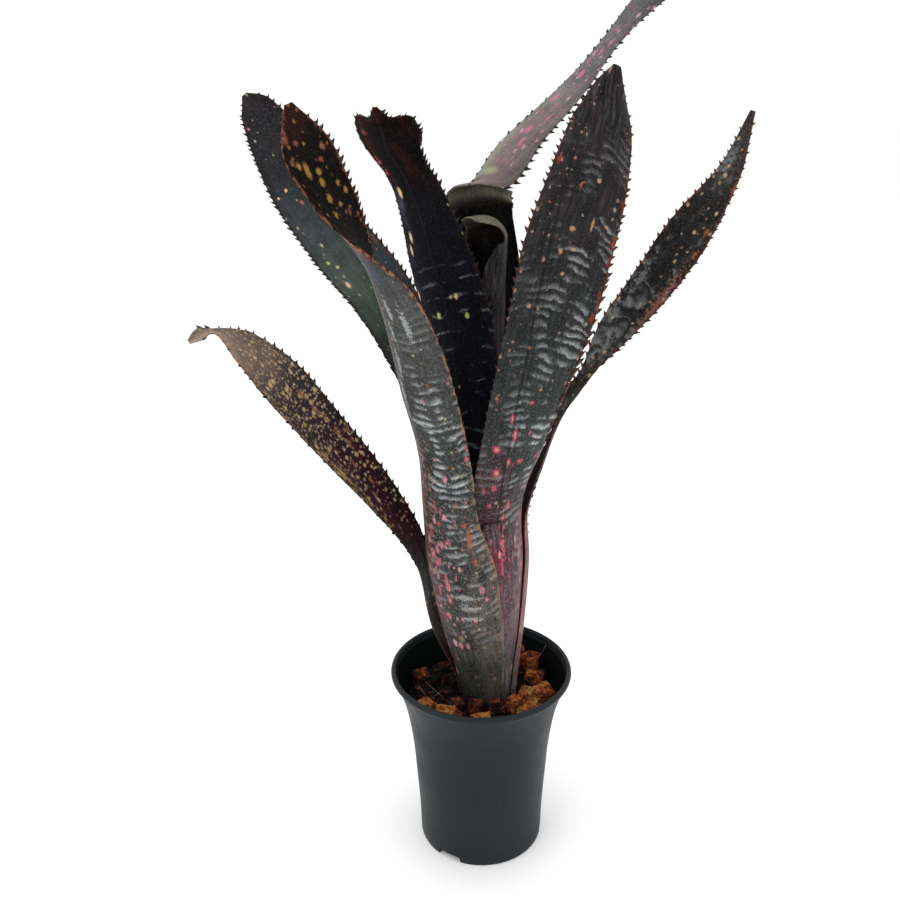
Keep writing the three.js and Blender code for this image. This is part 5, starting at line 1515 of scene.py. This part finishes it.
def make_substrate():
    """The growing medium: a bed that fills the pot, in the husk's blackest tone as painted shade where it
    shows between the chips, and chips over it.
    """
    rule = random.Random(CHIP_SEED)
    noise.seed_set(CHIP_SEED)
    walls = [(r - WALL - CLEARANCE, z) for r, z in wall_curve(24) if 12 < z < BED_TOP]
    edge = walls[-1][0]
    bed = turned("husk_bed", [
        (FLOOR_RADIUS - 2, FLOOR_TOP + CLEARANCE), *walls, (edge, BED_TOP), (edge * 0.55, BED_TOP - 2)], 64)
    deselect()
    bpy.ops.mesh.primitive_cylinder_add(vertices=48, radius=HOLE_RADIUS * MM, depth=100 * MM)
    hole = bpy.context.object
    hole.data.transform(Matrix.Translation((HOLE_CENTRE[0] * MM, HOLE_CENTRE[1] * MM, 110 * MM)))
    cut(bed, hole)
    # The bed takes the darkest colour of the ramp: painted shade in the gaps between chips
    values = bed.data.attributes.new("chip_tone", "FLOAT", "POINT").data
    values.foreach_set("value", [0.0] * len(values))
    pieces = [bed]
    for x, y, z, turn, length, width, height, tone in PLACED_CHIPS:
        chip = chip_pattern((length, width, height), rule)
        leans = [rule.uniform(-PLACED_LEAN, PLACED_LEAN) for _ in range(2)]
        lay_chip(chip, (x, y, z), (*leans, math.radians(turn)), 1.0, tone)
        pieces.append(chip)
    patterns = [chip_pattern([rule.uniform(*span) for span in CHIP_SIZE], rule)
                for _ in range(CHIP_PATTERNS)]
    for i in range(CHIP_COUNT):
        away = 0
        while away < HOLE_RADIUS + HOLE_GAP:
            radius = (edge - EDGE_GAP) * math.sqrt(rule.random())
            turn = rule.uniform(0, 2 * math.pi)
            x, y = radius * math.cos(turn), radius * math.sin(turn)
            away = math.hypot(x - HOLE_CENTRE[0], y - HOLE_CENTRE[1])
        chip = patterns[i % CHIP_PATTERNS].copy()
        chip.data = chip.data.copy()
        bpy.context.collection.objects.link(chip)
        layer = rule.random()
        leans = [rule.uniform(-CHIP_LEAN, CHIP_LEAN) for _ in range(2)]
        turns = (*leans, rule.uniform(0, 6.3))
        # Lower chips are darker: painted shade among the chips above them
        tone = min(max(rule.gauss(*CHIP_TONES), 0.0), 0.98) * (LOWEST_CHIP_SHADE + (1 - LOWEST_CHIP_SHADE) * layer ** 2)
        height = BED_TOP - CHIP_SINK + CHIP_SPREAD * layer
        # Behind the tube on the left the chips sink and are darkened as painted shade
        if x < SHADED_BEYOND[0] and y > SHADED_BEYOND[1]:
            tone *= PAINTED_SHADE_TONE
            height -= SHADED_DROP
        lay_chip(chip, (x, y, height), turns, rule.uniform(*CHIP_SHRINK), tone)
        pieces.append(chip)
    for pattern in patterns:
        bpy.data.objects.remove(pattern)
    for chip in pieces[1:]:
        keep_inside(chip)
    bed = join(pieces)
    dress(bed, husk("coconut_husk", [
        (0.0, "#060303"), (0.16, "#160906"), (0.32, "#3c1810"), (0.48, "#7a3818"), (0.64, "#a35422"),
        (0.84, "#946a30"), (1.0, "#94804a")]))
    smooth(bed, 35)
    finish_piece(bed, "substrate")
    make_fibres(rule)


# Stem inside the sheaths, in mm: where it stands, and its rings of radius and height
STEM_AXIS = (5.1, 7.6)
STEM_RINGS = [(7.4, 60.6), (8.0, 63), (8.2, 88), (7.6, 95), (6.8, 102), (6.0, 110), (5.6, 114), (3.2, 119.6)]


def make_stem():
    """Short woody stem, ringed by the scars of old leaves, about 2.4 mm apart."""
    stem = turned("ringed_stem", STEM_RINGS, 40)
    made, tree, output = new_material("woody_stem")
    place = add(tree, "TexCoord").outputs["Object"]
    rings = add(tree, "VectorMath", {0: place, 1: (40.0, 40.0, 420.0)}, operation="MULTIPLY")
    scars = add(tree, "TexNoise", {"Vector": rings, "Scale": 1.0, "Detail": 3.0})
    tint = add(tree, "ValToRGB", {0: scars}, stops=[(0.35, "#2a1c12"), (0.55, "#6a4e34"), (0.7, "#8a6c48")])
    bump = add(tree, "Bump", {"Strength": 0.6, "Distance": 0.0006, "Height": scars})
    shader = add(tree, "BsdfPrincipled", {"Base Color": tint, "Roughness": 0.8, "Normal": bump})
    tree.links.new(shader.outputs[0], output.inputs[0])
    dress(stem, made)
    stem.data.transform(Matrix.Translation((STEM_AXIS[0] * MM, STEM_AXIS[1] * MM, 0)))
    smooth(stem, 40)
    finish_piece(stem, "stem")


# Light and floor, in metres: each soft box with its place, what it faces, its size and its power in watts
FLOOR_SIZE = 30
WORLD_STRENGTH = 1.08
SOFT_BOXES = (
    ("softbox_left", (-1.2, -0.9, 1.5), (0, 0, 0.3), 1.2, 8),
    ("softbox_right", (1.4, -0.7, 1.2), (0, 0, 0.3), 1.2, 3),
    ("softbox_top", (0, 0.2, 2.0), (0, 0, 0.2), 1.4, 8),
)


def make_stage():
    """The floor, the light and the camera, none of which belongs to the part."""
    deselect()
    bpy.ops.mesh.primitive_plane_add(size=FLOOR_SIZE)
    floor = bpy.context.object
    floor.name = "pale_floor"
    made, tree, output = new_material("white_paper_floor")
    shader = add(tree, "BsdfPrincipled", {"Base Color": (0.95, 0.95, 0.95, 1), "Roughness": 0.9})
    tree.links.new(shader.outputs[0], output.inputs[0])
    floor.data.materials.append(made)
    scene = bpy.context.scene
    world = bpy.data.worlds.new("studio")
    scene.world = world
    world.use_nodes = True
    background = world.node_tree.nodes["Background"]
    background.inputs[0].default_value = (1, 1, 1, 1)
    background.inputs[1].default_value = WORLD_STRENGTH
    for name, place, target, size, power in SOFT_BOXES:
        data = bpy.data.lights.new(name, "AREA")
        data.shape = "SQUARE"
        data.size = size
        data.energy = power
        light = bpy.data.objects.new(name, data)
        scene.collection.objects.link(light)
        light.location = place
        light.rotation_euler = (Vector(target) - Vector(place)).to_track_quat("-Z", "Y").to_euler()
    data = bpy.data.cameras.new("camera")
    data.lens = CAMERA_LENS
    data.sensor_width = 36
    data.sensor_fit = "HORIZONTAL"
    data.clip_start = 0.01
    camera = bpy.data.objects.new("camera", data)
    scene.collection.objects.link(camera)
    camera.matrix_world = (Matrix.Translation(CAMERA_PLACE)
                           @ Matrix.Rotation(math.radians(90 - CAMERA_PITCH), 4, "X")
                           @ Matrix.Rotation(math.radians(CAMERA_ROLL), 4, "Z"))
    scene.camera = camera
    scene.view_settings.view_transform = "Standard"


make_stage()
spine = spine_pattern()
for leaf_name, leaf_rows in LEAF_ROWS.items():
    make_leaf(leaf_name, leaf_rows, spine)
bpy.data.objects.remove(spine)
make_pot()
make_substrate()
make_stem()
